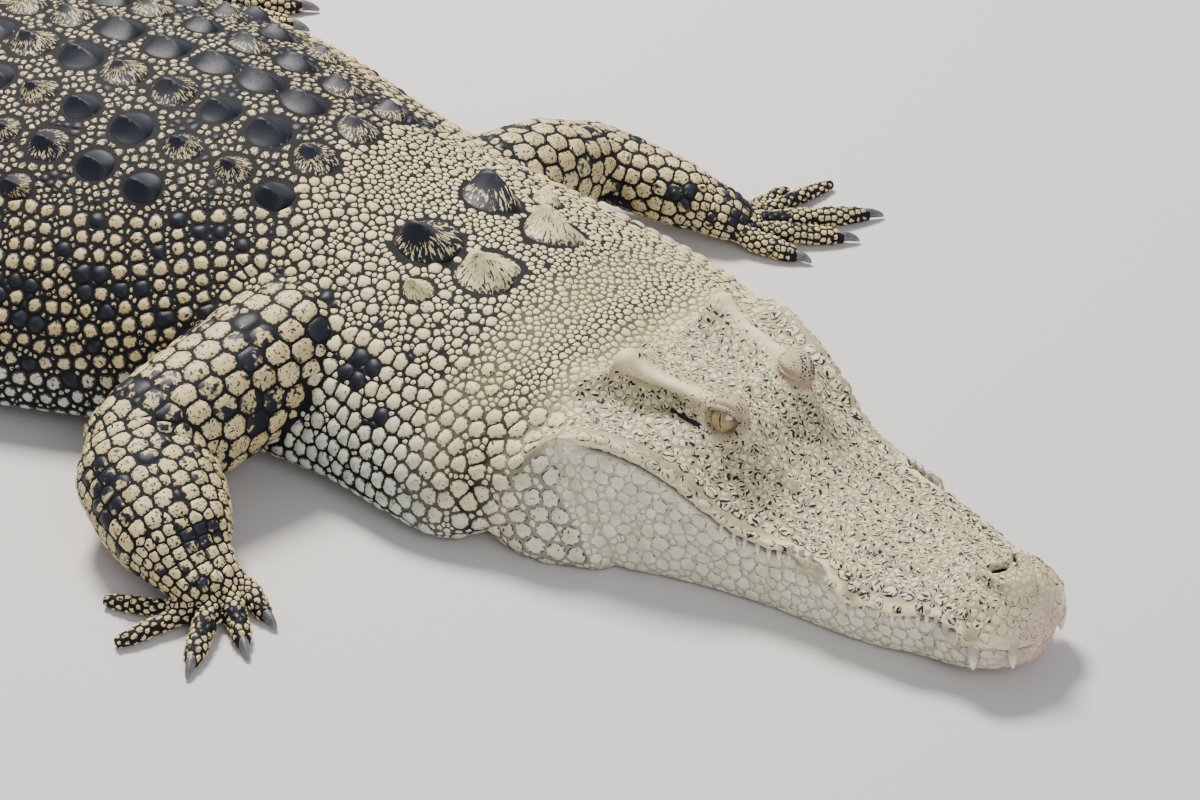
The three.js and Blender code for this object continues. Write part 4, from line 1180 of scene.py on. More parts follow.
# %% [markdown]
# The markings are decided once, for a place on the skin, and both the skin and its scales ask the
# same function. So a dark patch on the flank runs through the scales and the skin between them.

# %% Colours of the animal
CREAM = np.array([.78, .655, .365])
IVORY = np.array([.82, .725, .47])
TAN = np.array([.64, .465, .215])
PALE_BLUE = np.array([.56, .60, .56])
WHITE_JAW = np.array([.78, .735, .56])
PINK = np.array([.62, .42, .36])
MAUVE = np.array([.33, .22, .17])

def blend(a, b, q):
    return a * (1 - q[:, None]) + b * q[:, None]

def markings(points, s, g, share, leg, rand):
    """Base colour and darkness (0 pale to 1 black) of the coat at given places."""
    patch = soft_noise(points, .055, 11)
    broad = soft_noise(points, .16, 12)
    fine = soft_noise(points, .020, 13)
    colour = np.tile(CREAM, (len(s), 1))
    head = 1 - ease(s, .50, .58)
    low = ease(share, .47, .60)
    colour = blend(colour, IVORY, head * (1 - low) * .55)
    colour = blend(colour, WHITE_JAW, low * np.maximum(head, .75 * (1 - ease(s, .75, .95))))
    flank_low = ease(share, .40, .50) * ease(s, .85, 1.0)
    colour = blend(colour, PALE_BLUE, .8 * span(s, .60, .93, .10) * ease(g, .20, .34))
    side_tan = .40 + .38 * ease(g, .16, .28)
    colour = blend(colour, TAN, np.clip(ease(s, .80, 1.0) * (1 - flank_low) * (
        side_tan + .45 * (rand - .5)), 0, 1))
    colour = blend(colour, PALE_BLUE, flank_low * (1 - ease(share, .78, .90)) * .85)
    colour = blend(colour, IVORY, ease(share, .78, .92) * ease(s, .6, .8))
    nose = 1 - ease(s, .0, .034)
    colour = blend(colour, PINK, np.clip(nose * .75 + .25 * bump(s, .05, .03) * ease(share, .3, .6), 0, 1))
    colour = colour * (1 + .10 * (rand - .5) + .07 * broad)[:, None]
    eye_away = np.minimum(*[np.linalg.norm(points - eye_frame(e)[0], axis=1) for e in (-1, 1)])
    colour = blend(colour, MAUVE, .75 * (1 - ease(eye_away, .0215, .029)) * (s < .5))
    above_lip = (1 - ease(share, .50, .56)) * ease(s, .020, .060)
    dense = .10 + .27 * above_lip * (1 - ease(share, .34, .50)) + .09 * patch + .06 * broad
    dense = dense * above_lip * (1 - .4 * (1 - ease(eye_away, .020, .034))) * (1 - ease(s, .50, .56))
    bar = near_line(np.interp(share, [0, TABLE_EDGE], [0, .07]), 0, table_line(s), 0,
                    .012) * span(s, .395, .505, .01)
    dark = np.clip(dense * (1 - bar * (share < .2)), 0, .45) * (leg < 0)
    # Painted shade: the scales over the ear slit behind the eye are made dark.
    ear = bump(share, TEMPLE, .0075) * span(s, .392, .436, .010) * (leg < 0)
    dark = np.maximum(dark, 1.7 * ease(ear, .3, .7))
    back = ease(s, .84, 1.0) * (1 - ease(share, .40, .54))
    dark = np.maximum(dark, back * ease(patch * .75 + fine * .35 + .28 * (rand - .5), .27, .36) * .95)
    shoulder = span(s, .69, .97, .08) * bump(g, .25, .12)
    dark = np.maximum(dark, shoulder * ease(.30 * patch + 1.2 * (rand - .5), .42, .50))
    dark = np.maximum(dark, ease(s, 1.75, 2.0) * ease(np.sin(s * 34 + 2.2 * broad) + .5 * patch, .25, .7)
                      * (1 - ease(share, .60, .78)) * .9)
    on_leg = leg >= 0
    leg_dark = .50 + .32 * patch + .22 * fine + .12 * (rand - .5)
    colour[on_leg] = blend(CREAM, TAN, .45 + .5 * (rand - .5))[on_leg]
    dark = np.where(on_leg, leg_dark * ease(points[:, 2], .004, .02), dark)
    return np.clip(colour, 0, 1), dark

# %% Fill the pieces of the coat
rand = rng.random(total)
tint, dark = markings(book["at"], book["s"], girth_at(book["s"], book["share"]), book["share"],
                      book["leg"], rand)
kind = book["kind"].astype(int)
shield, nape_scale = kind == K_SHIELD, kind == K_NAPE
row_rand = rng.random(total)
dark[shield] = np.where(row_rand[shield] < .40, .80 + .5 * row_rand[shield], row_rand[shield] * .62 - .16)
dark[nape_scale] = np.where(book["s"][nape_scale] > .78, .30, -1.1)
dark[(kind == K_FLANK) & (row_rand < .05)] = .85

def attribute(mesh, name, kind_name, values):
    layer = mesh.attributes.new(name, kind_name, "POINT")
    key = {"FLOAT": "value", "FLOAT_VECTOR": "vector", "FLOAT_COLOR": "color"}[kind_name]
    layer.data.foreach_set(key, np.asarray(values, np.float32).ravel())

def set_uv(mesh, tris, uv):
    layer = mesh.uv_layers.new(name="OFBake")
    layer.data.foreach_set("uv", np.asarray(uv[tris.ravel()], np.float32).ravel())

def coat_piece(name, parts):
    """Joins shaped scales into one mesh object with its colours, outlines and flat pattern."""
    first = np.cumsum([0] + [len(part[0]) for part in parts])
    tris = np.concatenate([part[1] + start for part, start in zip(parts, first)])
    points, _, ids, edges, xs, ys = (np.concatenate(v) for v in zip(*parts))
    obj = mesh_object(name.replace(" ", "_"), points, tris)
    attribute(obj.data, "tint", "FLOAT_COLOR", np.column_stack([tint[ids], np.ones(len(ids))]))
    attribute(obj.data, "dark", "FLOAT", dark[ids])
    on_leg = book["leg"][ids] >= 0
    attribute(obj.data, "flat", "FLOAT_VECTOR", np.column_stack([
        np.where(on_leg, 5 + book["leg"][ids] + book["t"][ids], book["s"][ids]) + xs * long[ids],
        np.where(on_leg, book["turn"][ids] * .05,
                 book["side"][ids] * girth_at(book["s"], book["share"])[ids])
        - ys * wide[ids], np.zeros(len(ids))]))
    if name == "back shields":
        xs = xs - .22
    attribute(obj.data, "edge", "FLOAT", edges)
    attribute(obj.data, "petal", "FLOAT_VECTOR", np.column_stack([xs, ys, rand[ids] * 10]))
    u, v = root_uv(book["s"], girth_at(book["s"], book["share"]), book["side"], book["leg"], book["t"],
                   book["turn"])
    patch = .0014
    set_uv(obj.data, tris,
           np.column_stack([u[ids] + np.clip(xs, -1, 1) * patch, v[ids] + np.clip(ys, -1, 1) * patch]))
    print(name, "has", len(tris), "faces")
    return obj

# Ways to build scales: rim points, rings from root to rim, crispness of the corners, fill, and whether
# every point is set on the skin or only the rim.
def builder(*settings):
    return lambda mask: shape_scales(np.flatnonzero(mask), *settings)

big = builder(24, (.14, .28, .42, .56, .70, .84, .94, 1.0), 7, 1.22, True)
medium = builder(12, (.45, .84, 1.0), 9, 1.42)
packed = builder(14, (.45, .86, 1.0), 14, 2.3, True)
small = builder(8, (.72, 1.0), 10, 1.65)
plate = builder(12, (.55, .90, 1.0), 18, 2.3, True)
fine_plate = builder(9, (.78, 1.0), 16, 2.3)
s_of = book["s"]
neck_grain = (kind == K_GRAIN) & (s_of < .95)
groups = {
    "back shields": [big(np.isin(kind, (K_SHIELD, K_NAPE)))],
    "flank and belly scales": [medium(np.isin(kind, (K_FLANK, K_BELLY)))],
    "tail bands": [medium(kind == K_TAIL), small((kind == K_GRAIN) & (s_of >= 1.8))],
    "leg scales": [packed(np.isin(kind, (K_LEG, K_TOE))), small(kind == K_LEG_GRAIN)],
    "neck scales": [packed(kind == K_NECK), medium(neck_grain & (long >= .0058)),
                    small(neck_grain & (long < .0058))],
    "jaw plates": [plate(kind == K_JAW)],
    "front granules": [small((kind == K_GRAIN) & (s_of >= .95) & (s_of < 1.36))],
    "rear granules": [small((kind == K_GRAIN) & (s_of >= 1.36) & (s_of < 1.8))],
    "head plates": [plate((kind == K_LIP) | ((kind == K_HEAD_GRAIN) & (long >= .0052))),
                    fine_plate((kind == K_HEAD_GRAIN) & (long < .0052))],
}
coat = {name: coat_piece(name, parts) for name, parts in groups.items()}

# %% [markdown]
# The eyes are wet, smooth balls that show only a small part between the lids. A real eye has a clear
# front that bulges a little, a finely rayed iris and a pupil that is an upright slit by day. The ball
# is a mesh of rings round the line of sight, so the bulge and the markings follow it exactly.

# %% Closed shapes made of rings
def close_rings(rings, ends, middle):
    """Points and outward triangles of a shape of rings with a point at both ends."""
    count, around = rings.shape[:2]
    k, i = np.meshgrid(np.arange(count - 1), np.arange(around), indexing="ij")
    j = (i + 1) % around
    a, b, c, d = ((k + m) * around + n for m, n in ((0, i), (0, j), (1, i), (1, j)))
    tris = [np.stack([w.ravel() for w in t], 1) for t in ((a, c, b), (b, c, d))]
    i, j, last = np.arange(around), (np.arange(around) + 1) % around, (count - 1) * around
    first_end = np.full(around, count * around)
    tris = np.concatenate(tris + [np.stack([first_end, i, j], 1),
                                  np.stack([last + i, first_end + 1, last + j], 1)])
    v = np.concatenate([rings.reshape(-1, 3), ends])
    if middle is None:
        middle = v.mean(0)
    if (face_normals(v, tris) * (v[tris[:, 0]] - middle)).sum() < 0:
        tris = tris[:, ::-1]
    return v, tris

# %% Eyes
EYE_TURNS = 72

def eyeball(side):
    """Points, triangles and the place of each point seen along the line of sight, in radii."""
    centre, look, rear, rise = eye_frame(side)
    polar = np.radians(np.concatenate([np.arange(1.5, 60, 1.5), np.arange(60, 178, 6)]))
    turn = np.arange(EYE_TURNS) / EYE_TURNS * 2 * np.pi
    p, t = np.meshgrid(polar, turn, indexing="ij")
    bulge = EYE_RADIUS - .0002 + .0011 * np.clip(1 - (p / .62) ** 2, 0, 1) ** 2
    x, y, z = np.sin(p) * np.cos(t), np.sin(p) * np.sin(t), np.cos(p)
    v = centre + bulge[..., None] * (x[..., None] * rear + y[..., None] * rise + z[..., None] * look)
    ends = [centre + look * (EYE_RADIUS + .0009), centre - look * (EYE_RADIUS - .0002)]
    seen = np.concatenate([np.stack([x, y, z], -1).reshape(-1, 3), [[0, 0, 1], [0, 0, -1]]])
    return *close_rings(v, ends, centre), seen

# %% Claws
def bent_cone(root, tip, half, drop, around=20, rings=26, wide=.72):
    """A cone from root to tip that curves over by drop, with its rounded base inside the toe."""
    axis = tip - root
    length = np.linalg.norm(axis)
    axis = axis / length
    level = np.cross([0, 0, 1], axis)
    level /= np.linalg.norm(level)
    up = np.cross(axis, level)
    q = np.linspace(0, 1, rings)
    turn = np.arange(around) / around * 2 * np.pi
    size = half * (1 - q) ** .46 * (1 - .03 * np.sin(q * 60) * (1 - q)) + .0002
    middle = root + axis * (q * length)[:, None] + up * (drop * 4 * q * (1 - q))[:, None]
    v = (middle[:, None] + level * (np.cos(turn)[None] * size[:, None])[..., None] * wide
         + up * (np.sin(turn)[None] * size[:, None] * np.where(np.sin(turn) < 0, .8, 1)[None])[..., None])
    v, tris = close_rings(v, [root - axis * half * .6, tip + axis * .0004], None)
    v[:, 2] = np.maximum(v[:, 2], .0006)
    along = np.concatenate([np.repeat(q, around), [0, 1]])
    return v, tris, along

claw_parts = {}
for name, (_, claws) in legs.items():
    for k, (root, tip, half) in enumerate(claws, 1):
        claw_parts[f"{name}_claw_{k}"] = bent_cone(root, tip, half * 1.30, .0026)
print(len(claw_parts), "claws")

# %% [markdown]
# Teeth and the blades of the tail's crest are one small shape each, repeated along a line and turned,
# bent and sized to suit its place. A node tree does that: it puts a copy of the shape on each point
# of a bare mesh, reads how to turn and size it from that point, and joins the copies into one mesh.

# %% A node tree that sets one shape on many points
rows_tree = bpy.data.node_groups.new("shape on points", "GeometryNodeTree")
for label, kind_name in (("Points", "NodeSocketGeometry"), ("Shape", "NodeSocketObject"),
                         ("Finish", "NodeSocketMaterial")):
    rows_tree.interface.new_socket(name=label, in_out="INPUT", socket_type=kind_name)
rows_tree.interface.new_socket(name="Rows", in_out="OUTPUT", socket_type="NodeSocketGeometry")
make, join = rows_tree.nodes.new, rows_tree.links.new
rows_in, rows_out = make("NodeGroupInput"), make("NodeGroupOutput")
turn_read, size_read = make("GeometryNodeInputNamedAttribute"), make("GeometryNodeInputNamedAttribute")
for node, label in ((turn_read, "turn"), (size_read, "size")):
    node.data_type = "FLOAT_VECTOR"
    node.inputs["Name"].default_value = label
copy_from, instances = make("GeometryNodeObjectInfo"), make("GeometryNodeInstanceOnPoints")
turned = make("FunctionNodeEulerToRotation")
realized, finish = make("GeometryNodeRealizeInstances"), make("GeometryNodeSetMaterial")
join(rows_in.outputs["Points"], instances.inputs["Points"])
join(rows_in.outputs["Shape"], copy_from.inputs["Object"])
join(copy_from.outputs["Geometry"], instances.inputs["Instance"])
join(turn_read.outputs["Attribute"], turned.inputs["Euler"])
join(turned.outputs["Rotation"], instances.inputs["Rotation"])
join(size_read.outputs["Attribute"], instances.inputs["Scale"])
join(instances.outputs["Instances"], realized.inputs["Geometry"])
join(realized.outputs["Geometry"], finish.inputs["Geometry"])
join(rows_in.outputs["Finish"], finish.inputs["Material"])
join(finish.outputs["Geometry"], rows_out.inputs["Rows"])

def set_rows(name, unit, at, x_ways, z_ways, sizes, material):
    """One mesh of copies of a unit shape (points, triangles) at many places."""
    shape = mesh_object(name + "_shape", *unit)
    z = z_ways / np.linalg.norm(z_ways, axis=1, keepdims=True)
    y = np.cross(z, x_ways)
    y /= np.linalg.norm(y, axis=1, keepdims=True)
    x = np.cross(y, z)
    turns = [Matrix((a, b, c)).transposed().to_euler()[:] for a, b, c in zip(x, y, z)]
    bare = bpy.data.meshes.new(name + "_points")
    bare.from_pydata([tuple(p) for p in at], [], [])
    attribute(bare, "turn", "FLOAT_VECTOR", turns)
    attribute(bare, "size", "FLOAT_VECTOR", sizes)
    holder = bpy.data.objects.new(name + "_points", bare)
    bpy.context.scene.collection.objects.link(holder)
    rows = holder.modifiers.new("rows", "NODES")
    rows.node_group = rows_tree
    inputs = {i.name: i.identifier for i in rows_tree.interface.items_tree if i.in_out == "INPUT"}
    rows[inputs["Shape"]], rows[inputs["Finish"]] = shape, material
    ready = holder.evaluated_get(bpy.context.evaluated_depsgraph_get())
    mesh = bpy.data.meshes.new_from_object(ready)
    mesh.name = name
    mesh.polygons.foreach_set("use_smooth", np.full(len(mesh.polygons), True))
    made = bpy.data.objects.new(name, mesh)
    bpy.context.scene.collection.objects.link(made)
    for obj in (holder, shape):
        bpy.data.objects.remove(obj)
    for label in ("turn", "size"):
        if label in mesh.attributes:
            mesh.attributes.remove(mesh.attributes[label])
    print(name, "has", len(at), "copies and", len(mesh.polygons), "faces")
    return made

def ringed(ring_points):
    """Points and triangles of a closed shape made of rings, with a point at both ends."""
    return close_rings(ring_points, [ring_points[0].mean(0), ring_points[-1].mean(0)], None)

# %% The shapes of a tooth and of a blade, each about one unit in size
q = np.linspace(0, 1, 10)[:, None]
turn = (np.arange(12) / 12 * 2 * np.pi)[None]
tooth_size = (1 - q) ** .48 * .95 + .05
tooth_unit = ringed(np.stack([q + 0 * turn, np.cos(turn) * tooth_size,
                              np.sin(turn) * tooth_size - .9 * q ** 2], -1))
h = np.array([-.30, 0, .18, .38, .58, .78, .92, 1.0])[:, None]
rise = np.clip(h, 0, 1)
front_edge, rear_edge = -.60 + .88 * rise ** .85, .38 - .08 * rise + .03 * np.sin(rise * np.pi)
thin = np.where(h < 1, (1 - rise) ** .75 + .10, .06)
blade_unit = ringed(np.stack([(front_edge + rear_edge) / 2 + (rear_edge - front_edge) / 2 * np.cos(turn),
                              thin * np.sin(turn) * (.55 + .45 * np.abs(np.sin(turn))), h + 0 * turn], -1))

# %% Where the teeth stand
UPPER_TEETH = [(12, 20), (41, 24), (58, 8), (96, 8), (105, 9), (114, 12), (128, 9), (142, 7), (173, 15),
               (190, 8), (224, 6), (236, 8), (248, 9), (260, 10), (272, 9), (285, 8), (298, 7), (311, 6),
               (324, 5)]
LOWER_TEETH = [(26, 7), (76, 19), (88, 8), (122, 7), (135, 8), (150, 9), (160, 7), (198, 8), (210, 7)]
tooth_at, tooth_way, tooth_in, tooth_sizes = [], [], [], []
for table, way in ((UPPER_TEETH, -1), (LOWER_TEETH, 1)):
    for back, length in table:
        back, length = back * MM, length * MM
        for side in (-1, 1):
            out = float(lip_out(back)) + (.0005 if way < 0 else -.0030)
            up = float(lip_up(back))
            root = place(back, side * (out - .004), up - way * .009)
            tip = place(back - .002 + rng.normal(0, .0008), side * (out + .0035), up + way * length)
            tooth_at.append(root)
            tooth_way.append(tip - root)
            tooth_in.append(place(back, 0, up) - root)
            reach = np.linalg.norm(tip - root)
            half = length * .25 + .0013
            tooth_sizes.append((reach, half, half))
tooth_at, tooth_way, tooth_in, tooth_sizes = (np.array(v) for v in (tooth_at, tooth_way, tooth_in,
                                                                    tooth_sizes))
print(len(tooth_at), "teeth show")

# %% Where the blades of the crest stand
crest_height = mm_line([(1750, 14), (2000, 26), (2350, 40), (2700, 52), (3100, 50), (3400, 38), (3600, 16)])
crest_s = [(s, side * float(crest_out(s)), .066) for s in np.arange(1.795, 2.37, .064) for side in (-1, 1)]
crest_s += [(s, 0, .070) for s in np.arange(2.41, 3.575, .066)]
crest_s = np.array(crest_s)
top = np.array([float(np.interp(abs(o), *np.array(section(s, np.linspace(0, .5, 60))))) for s, o,
                _ in crest_s])
crest_at, crest_i, _ = on_skin(place(crest_s[:, 0], crest_s[:, 1], top), 1)
crest_rear = rearward_at(crest_s[:, 0])
crest_up = np.array([0, 0, 1]) + .35 * skin_n[crest_i]
height = crest_height(crest_s[:, 0]) * np.exp(rng.normal(0, .04, len(crest_s)))
crest_sizes = np.stack([crest_s[:, 2], .0035 + .060 * height, height], 1)
print(len(crest_at), "blades in the crest")

# %% [markdown]
# Skin, scales and granules share their small marks: dark streaks that run out from a scale's middle,
# pepper-like dots, and dirt in the seams. These are node groups with named inputs, built once and
# placed in each material with its own values.

# %% A helper for node trees
def link_tree(tree):
    nodes, links = tree.nodes, tree.links
    def add(kind_name, **settings):
        node = nodes.new(kind_name)
        for key, value in settings.items():
            if key == "inputs":
                for name, v in value.items():
                    if isinstance(v, bpy.types.NodeSocket):
                        links.new(v, node.inputs[name])
                    else:
                        node.inputs[name].default_value = v
            else:
                setattr(node, key, value)
        return node
    return add, links

def math_node(add, operation, a, b=0.0, c=None, clamp=False):
    inputs = {0: a, 1: b} if c is None else {0: a, 1: b, 2: c}
    return add("ShaderNodeMath", operation=operation, use_clamp=clamp, inputs=inputs).outputs[0]

def read(add, name, output="Fac"):
    """An attribute of the mesh."""
    return add("ShaderNodeAttribute", attribute_name=name).outputs[output]

def cloud_node(add, place, scale, detail):
    return add("ShaderNodeTexNoise",
               inputs={"Vector": place, "Scale": scale, "Detail": detail}).outputs["Fac"]

def mix_colour(add, share, a, b, how="MIX"):
    return add("ShaderNodeMix", data_type="RGBA", blend_type=how, inputs={0: share, 6: a, 7: b}).outputs[2]

def new_finish(name):
    mat = bpy.data.materials.new(name)
    mat.use_nodes = True
    add, links = link_tree(mat.node_tree)
    return mat, add, links, mat.node_tree.nodes["Principled BSDF"]

def ramp(add, value, low, high):
    return add("ShaderNodeMapRange", interpolation_type="SMOOTHSTEP",
               inputs={"Value": value, "From Min": low, "From Max": high}).outputs["Result"]

def new_group(name, inputs, outputs):
    tree = bpy.data.node_groups.new(name, "ShaderNodeTree")
    for label, kind_name, default in inputs:
        socket = tree.interface.new_socket(name=label, in_out="INPUT", socket_type=kind_name)
        if default is not None:
            socket.default_value = default
    for label, kind_name in outputs:
        tree.interface.new_socket(name=label, in_out="OUTPUT", socket_type=kind_name)
    add, links = link_tree(tree)
    return tree, add, links, add("NodeGroupInput"), add("NodeGroupOutput")

# %% Pepper dots and short dashes
pepper, add, links, gin, gout = new_group("pepper marks", [
    ("Place", "NodeSocketVector", None), ("Size", "NodeSocketFloat", 300.0),
    ("Amount", "NodeSocketFloat", .5)],
    [("Mask", "NodeSocketFloat")])
bend = add("ShaderNodeTexNoise", noise_dimensions="3D",
           inputs={"Vector": gin.outputs["Place"], "Scale": 90.0,
                                                               "Detail": 1.0})
shift = add("ShaderNodeVectorMath", operation="SCALE", inputs={0: bend.outputs["Color"], "Scale": .012})
moved = add("ShaderNodeVectorMath", operation="ADD", inputs={0: gin.outputs["Place"], 1: shift.outputs[0]})
dots = add("ShaderNodeTexNoise", noise_dimensions="3D",
           inputs={"Vector": moved.outputs[0], "Scale": gin.outputs["Size"],
                                                               "Detail": 1.5, "Roughness": .45})
level = math_node(add, "MULTIPLY_ADD", gin.outputs["Amount"], -.30, .78)
mask = add("ShaderNodeMapRange", interpolation_type="SMOOTHSTEP", inputs={
    "Value": dots.outputs["Fac"], "From Min": level, "From Max": math_node(add, "ADD", level, .035)})
links.new(mask.outputs["Result"], gout.inputs["Mask"])

# %% Short dashes: one to a cell, each with its own direction
dashes, add, links, gin, gout = new_group("short dashes", [
    ("Place", "NodeSocketVector", None), ("Cells", "NodeSocketFloat", 130.0),
    ("Long", "NodeSocketFloat", .0034),
    ("Thin", "NodeSocketFloat", .0011), ("Amount", "NodeSocketFloat", .5)], [("Mask", "NodeSocketFloat")])
bend = add("ShaderNodeTexNoise", inputs={"Vector": gin.outputs["Place"], "Scale": 210.0, "Detail": 2.0})
shift = add("ShaderNodeVectorMath", operation="SCALE", inputs={0: bend.outputs["Color"], "Scale": .0042})
level_shift = add("ShaderNodeVectorMath", operation="MULTIPLY", inputs={0: shift.outputs[0], 1: (1, 1, 0)})
moved = add("ShaderNodeVectorMath", operation="ADD",
            inputs={0: gin.outputs["Place"], 1: level_shift.outputs[0]}).outputs[0]
cell = add("ShaderNodeTexVoronoi", voronoi_dimensions="2D",
           inputs={"Vector": moved, "Scale": gin.outputs["Cells"]})
away = add("ShaderNodeVectorMath", operation="SUBTRACT",
           inputs={0: moved, 1: cell.outputs["Position"]}).outputs[0]
centred = add("ShaderNodeVectorMath", operation="SUBTRACT",
              inputs={0: cell.outputs["Color"], 1: (.5, .5, .5)})
level_way = add("ShaderNodeVectorMath", operation="MULTIPLY", inputs={0: centred.outputs[0], 1: (1, 1, 0)})
way = add("ShaderNodeVectorMath", operation="NORMALIZE", inputs={0: level_way.outputs[0]}).outputs[0]
along = add("ShaderNodeVectorMath", operation="DOT_PRODUCT", inputs={0: away, 1: way}).outputs["Value"]
far = add("ShaderNodeVectorMath", operation="DOT_PRODUCT", inputs={0: away, 1: away}).outputs["Value"]
along_2 = math_node(add, "MULTIPLY", along, along)
beside_2 = math_node(add, "SUBTRACT", far, along_2)
long_2 = math_node(add, "MULTIPLY", gin.outputs["Long"], gin.outputs["Long"])
thin_2 = math_node(add, "MULTIPLY", gin.outputs["Thin"], gin.outputs["Thin"])
reach = math_node(add, "ADD", math_node(add, "DIVIDE", along_2, long_2),
                  math_node(add, "DIVIDE", beside_2, thin_2))
inside = math_node(add, "SUBTRACT", 1.0, ramp(add, reach, .75, 1.35))
chance = add("ShaderNodeSeparateXYZ", inputs={0: cell.outputs["Color"]}).outputs[2]
drawn = math_node(add, "LESS_THAN", chance, gin.outputs["Amount"])
links.new(math_node(add, "MULTIPLY", inside, drawn), gout.inputs["Mask"])

# %% Streaks that run out from the middle of a scale
streaks, add, links, gin, gout = new_group("radial streaks", [
    ("Petal", "NodeSocketVector", None), ("Amount", "NodeSocketFloat", .5),
    ("Core", "NodeSocketFloat", 0.0)],
    [("Mask", "NodeSocketFloat")])
part = add("ShaderNodeSeparateXYZ", inputs={0: gin.outputs["Petal"]})
x, y, seed = part.outputs
angle = math_node(add, "ARCTAN2", y, x)
radius = math_node(add, "SQRT", math_node(add, "ADD", math_node(add, "MULTIPLY", x, x),
                                          math_node(add, "MULTIPLY", y, y)))
circle = add("ShaderNodeCombineXYZ", inputs={
    "X": math_node(add, "MULTIPLY", math_node(add, "COSINE", angle), 4.6),
    "Y": math_node(add, "MULTIPLY", math_node(add, "SINE", angle), 4.6),
    "Z": math_node(add, "MULTIPLY_ADD", radius, 2.6, seed)})
rays = add("ShaderNodeTexNoise", noise_dimensions="3D",
           inputs={"Vector": circle.outputs[0], "Scale": 2.4, "Detail": 3.0,
                                                 "Roughness": .6})
level = math_node(add, "MULTIPLY_ADD", gin.outputs["Amount"], -.34, .74)
core = math_node(add, "SUBTRACT", radius, gin.outputs["Core"])
level = math_node(add, "SUBTRACT", level, math_node(add, "MULTIPLY", math_node(add, "SUBTRACT", 1.0, ramp(
    add, core, -.18, .22)), .55))
mask = add("ShaderNodeMapRange", interpolation_type="SMOOTHSTEP", inputs={
    "Value": rays.outputs["Fac"], "From Min": level, "From Max": math_node(add, "ADD", level, .05)})
links.new(mask.outputs["Result"], gout.inputs["Mask"])

# %% The finish of scales
def scale_material(name, streak, dots, dot_size, edge_low, ink=(.0055, .0078, .0165, 1),
                   seam=(.006, .0065, .008, 1),
                   rough=.50, seam_strength=.95, dashed=0.0, core=0.0):
    mat, add, links, shader = new_finish(name)
    place_node = add("ShaderNodeTexCoord").outputs["Object"]
    tint_node = read(add, "tint", "Color")
    dark_node = read(add, "dark")
    edge_node = read(add, "edge")
    petal_node = read(add, "petal", "Vector")
    flat_node = read(add, "flat", "Vector")
    cloud = cloud_node(add, place_node, 70.0, 4.0)
    shade = ramp(add, cloud, .30, .72)
    base = mix_colour(add, math_node(add, "SUBTRACT", 1.0, shade), tint_node, (.74, .76, .72, 1),
                      "MULTIPLY")
    ray = add("ShaderNodeGroup", node_tree=streaks, inputs={"Petal": petal_node,
              "Amount": math_node(add, "MULTIPLY_ADD", dark_node, .25 if core else .9, streak)})
    if core:
        links.new(math_node(add, "MULTIPLY", dark_node, core), ray.inputs["Core"])
    pep = add("ShaderNodeGroup", node_tree=pepper,
              inputs={"Place": place_node, "Size": dot_size, "Amount": dots})
    limit = 1.02 + (.8 if dashed or core else 0)
    solid = ramp(add, math_node(add, "ADD", dark_node, math_node(add, "MULTIPLY", cloud, .9)), limit,
                 limit + .07)
    marks = math_node(add, "MAXIMUM", math_node(add, "MAXIMUM", ray.outputs[0], pep.outputs[0]), solid)
    if dashed:
        amount = math_node(add, "MULTIPLY", dark_node, dashed)
        for cells, long_by, thin_by in ((98.0, .0050, .00150), (150.0, .0030, .00095)):
            dash = add("ShaderNodeGroup", node_tree=dashes, inputs={
                "Place": flat_node, "Cells": cells, "Long": long_by, "Thin": thin_by, "Amount": amount})
            marks = math_node(add, "MAXIMUM", marks, dash.outputs[0])
    inked = mix_colour(add, marks, base, ink)
    ragged = cloud_node(add, place_node, 260.0, 2.0)
    worn = math_node(add, "ADD", edge_node,
                     math_node(add, "MULTIPLY", math_node(add, "SUBTRACT", ragged, .5), .80))
    rim = math_node(add, "MULTIPLY", ramp(add, worn, edge_low, min(edge_low + .18, 1.0)), seam_strength)
    links.new(mix_colour(add, rim, inked, seam), shader.inputs["Base Color"])
    grain = add("ShaderNodeTexNoise",
                inputs={"Vector": place_node, "Scale": 380.0, "Detail": 4.0, "Roughness": .6})
    rough_node = add("ShaderNodeMapRange",
                     inputs={"Value": grain.outputs["Fac"], "To Min": rough - .10, "To Max": rough + .14})
    links.new(rough_node.outputs["Result"], shader.inputs["Roughness"])
    height = math_node(add, "SUBTRACT", math_node(add, "MULTIPLY", grain.outputs["Fac"], .6),
                       math_node(add, "MULTIPLY", marks, .25))
    bump_node = add("ShaderNodeBump", inputs={"Height": height, "Strength": .35, "Distance": .0006})
    links.new(bump_node.outputs[0], shader.inputs["Normal"])
    shader.inputs["Specular IOR Level"].default_value = .32
    return mat

finishes = {
    "back shields": scale_material("keeled shield", .86, .20, 330.0, .84, core=.95),
    "flank and belly scales": scale_material("flank scale", .10, .52, 330.0, .66),
    "tail bands": scale_material("tail scale", .12, .25, 300.0, .84),
    "leg scales": scale_material("leg scale", -.16, .62, 330.0, .84),
    "neck scales": scale_material("neck scale", .02, .40, 360.0, .78, seam=(.016, .019, .015, 1)),
    "jaw plates": scale_material("jaw plate", .0, .0, 360.0, .84, seam=(.045, .065, .040, 1),
                                 seam_strength=.85),
    "front granules": scale_material("granule", .10, .85, 420.0, .56),
    "head plates": scale_material("head plate", .0, .30, 300.0, .76, seam=(.035, .030, .026, 1),
                                  seam_strength=.90,
                                  dashed=2.1),
}
finishes["rear granules"] = finishes["front granules"]
for name, obj in coat.items():
    obj.data.materials.append(finishes[name])
    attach(obj, "root")
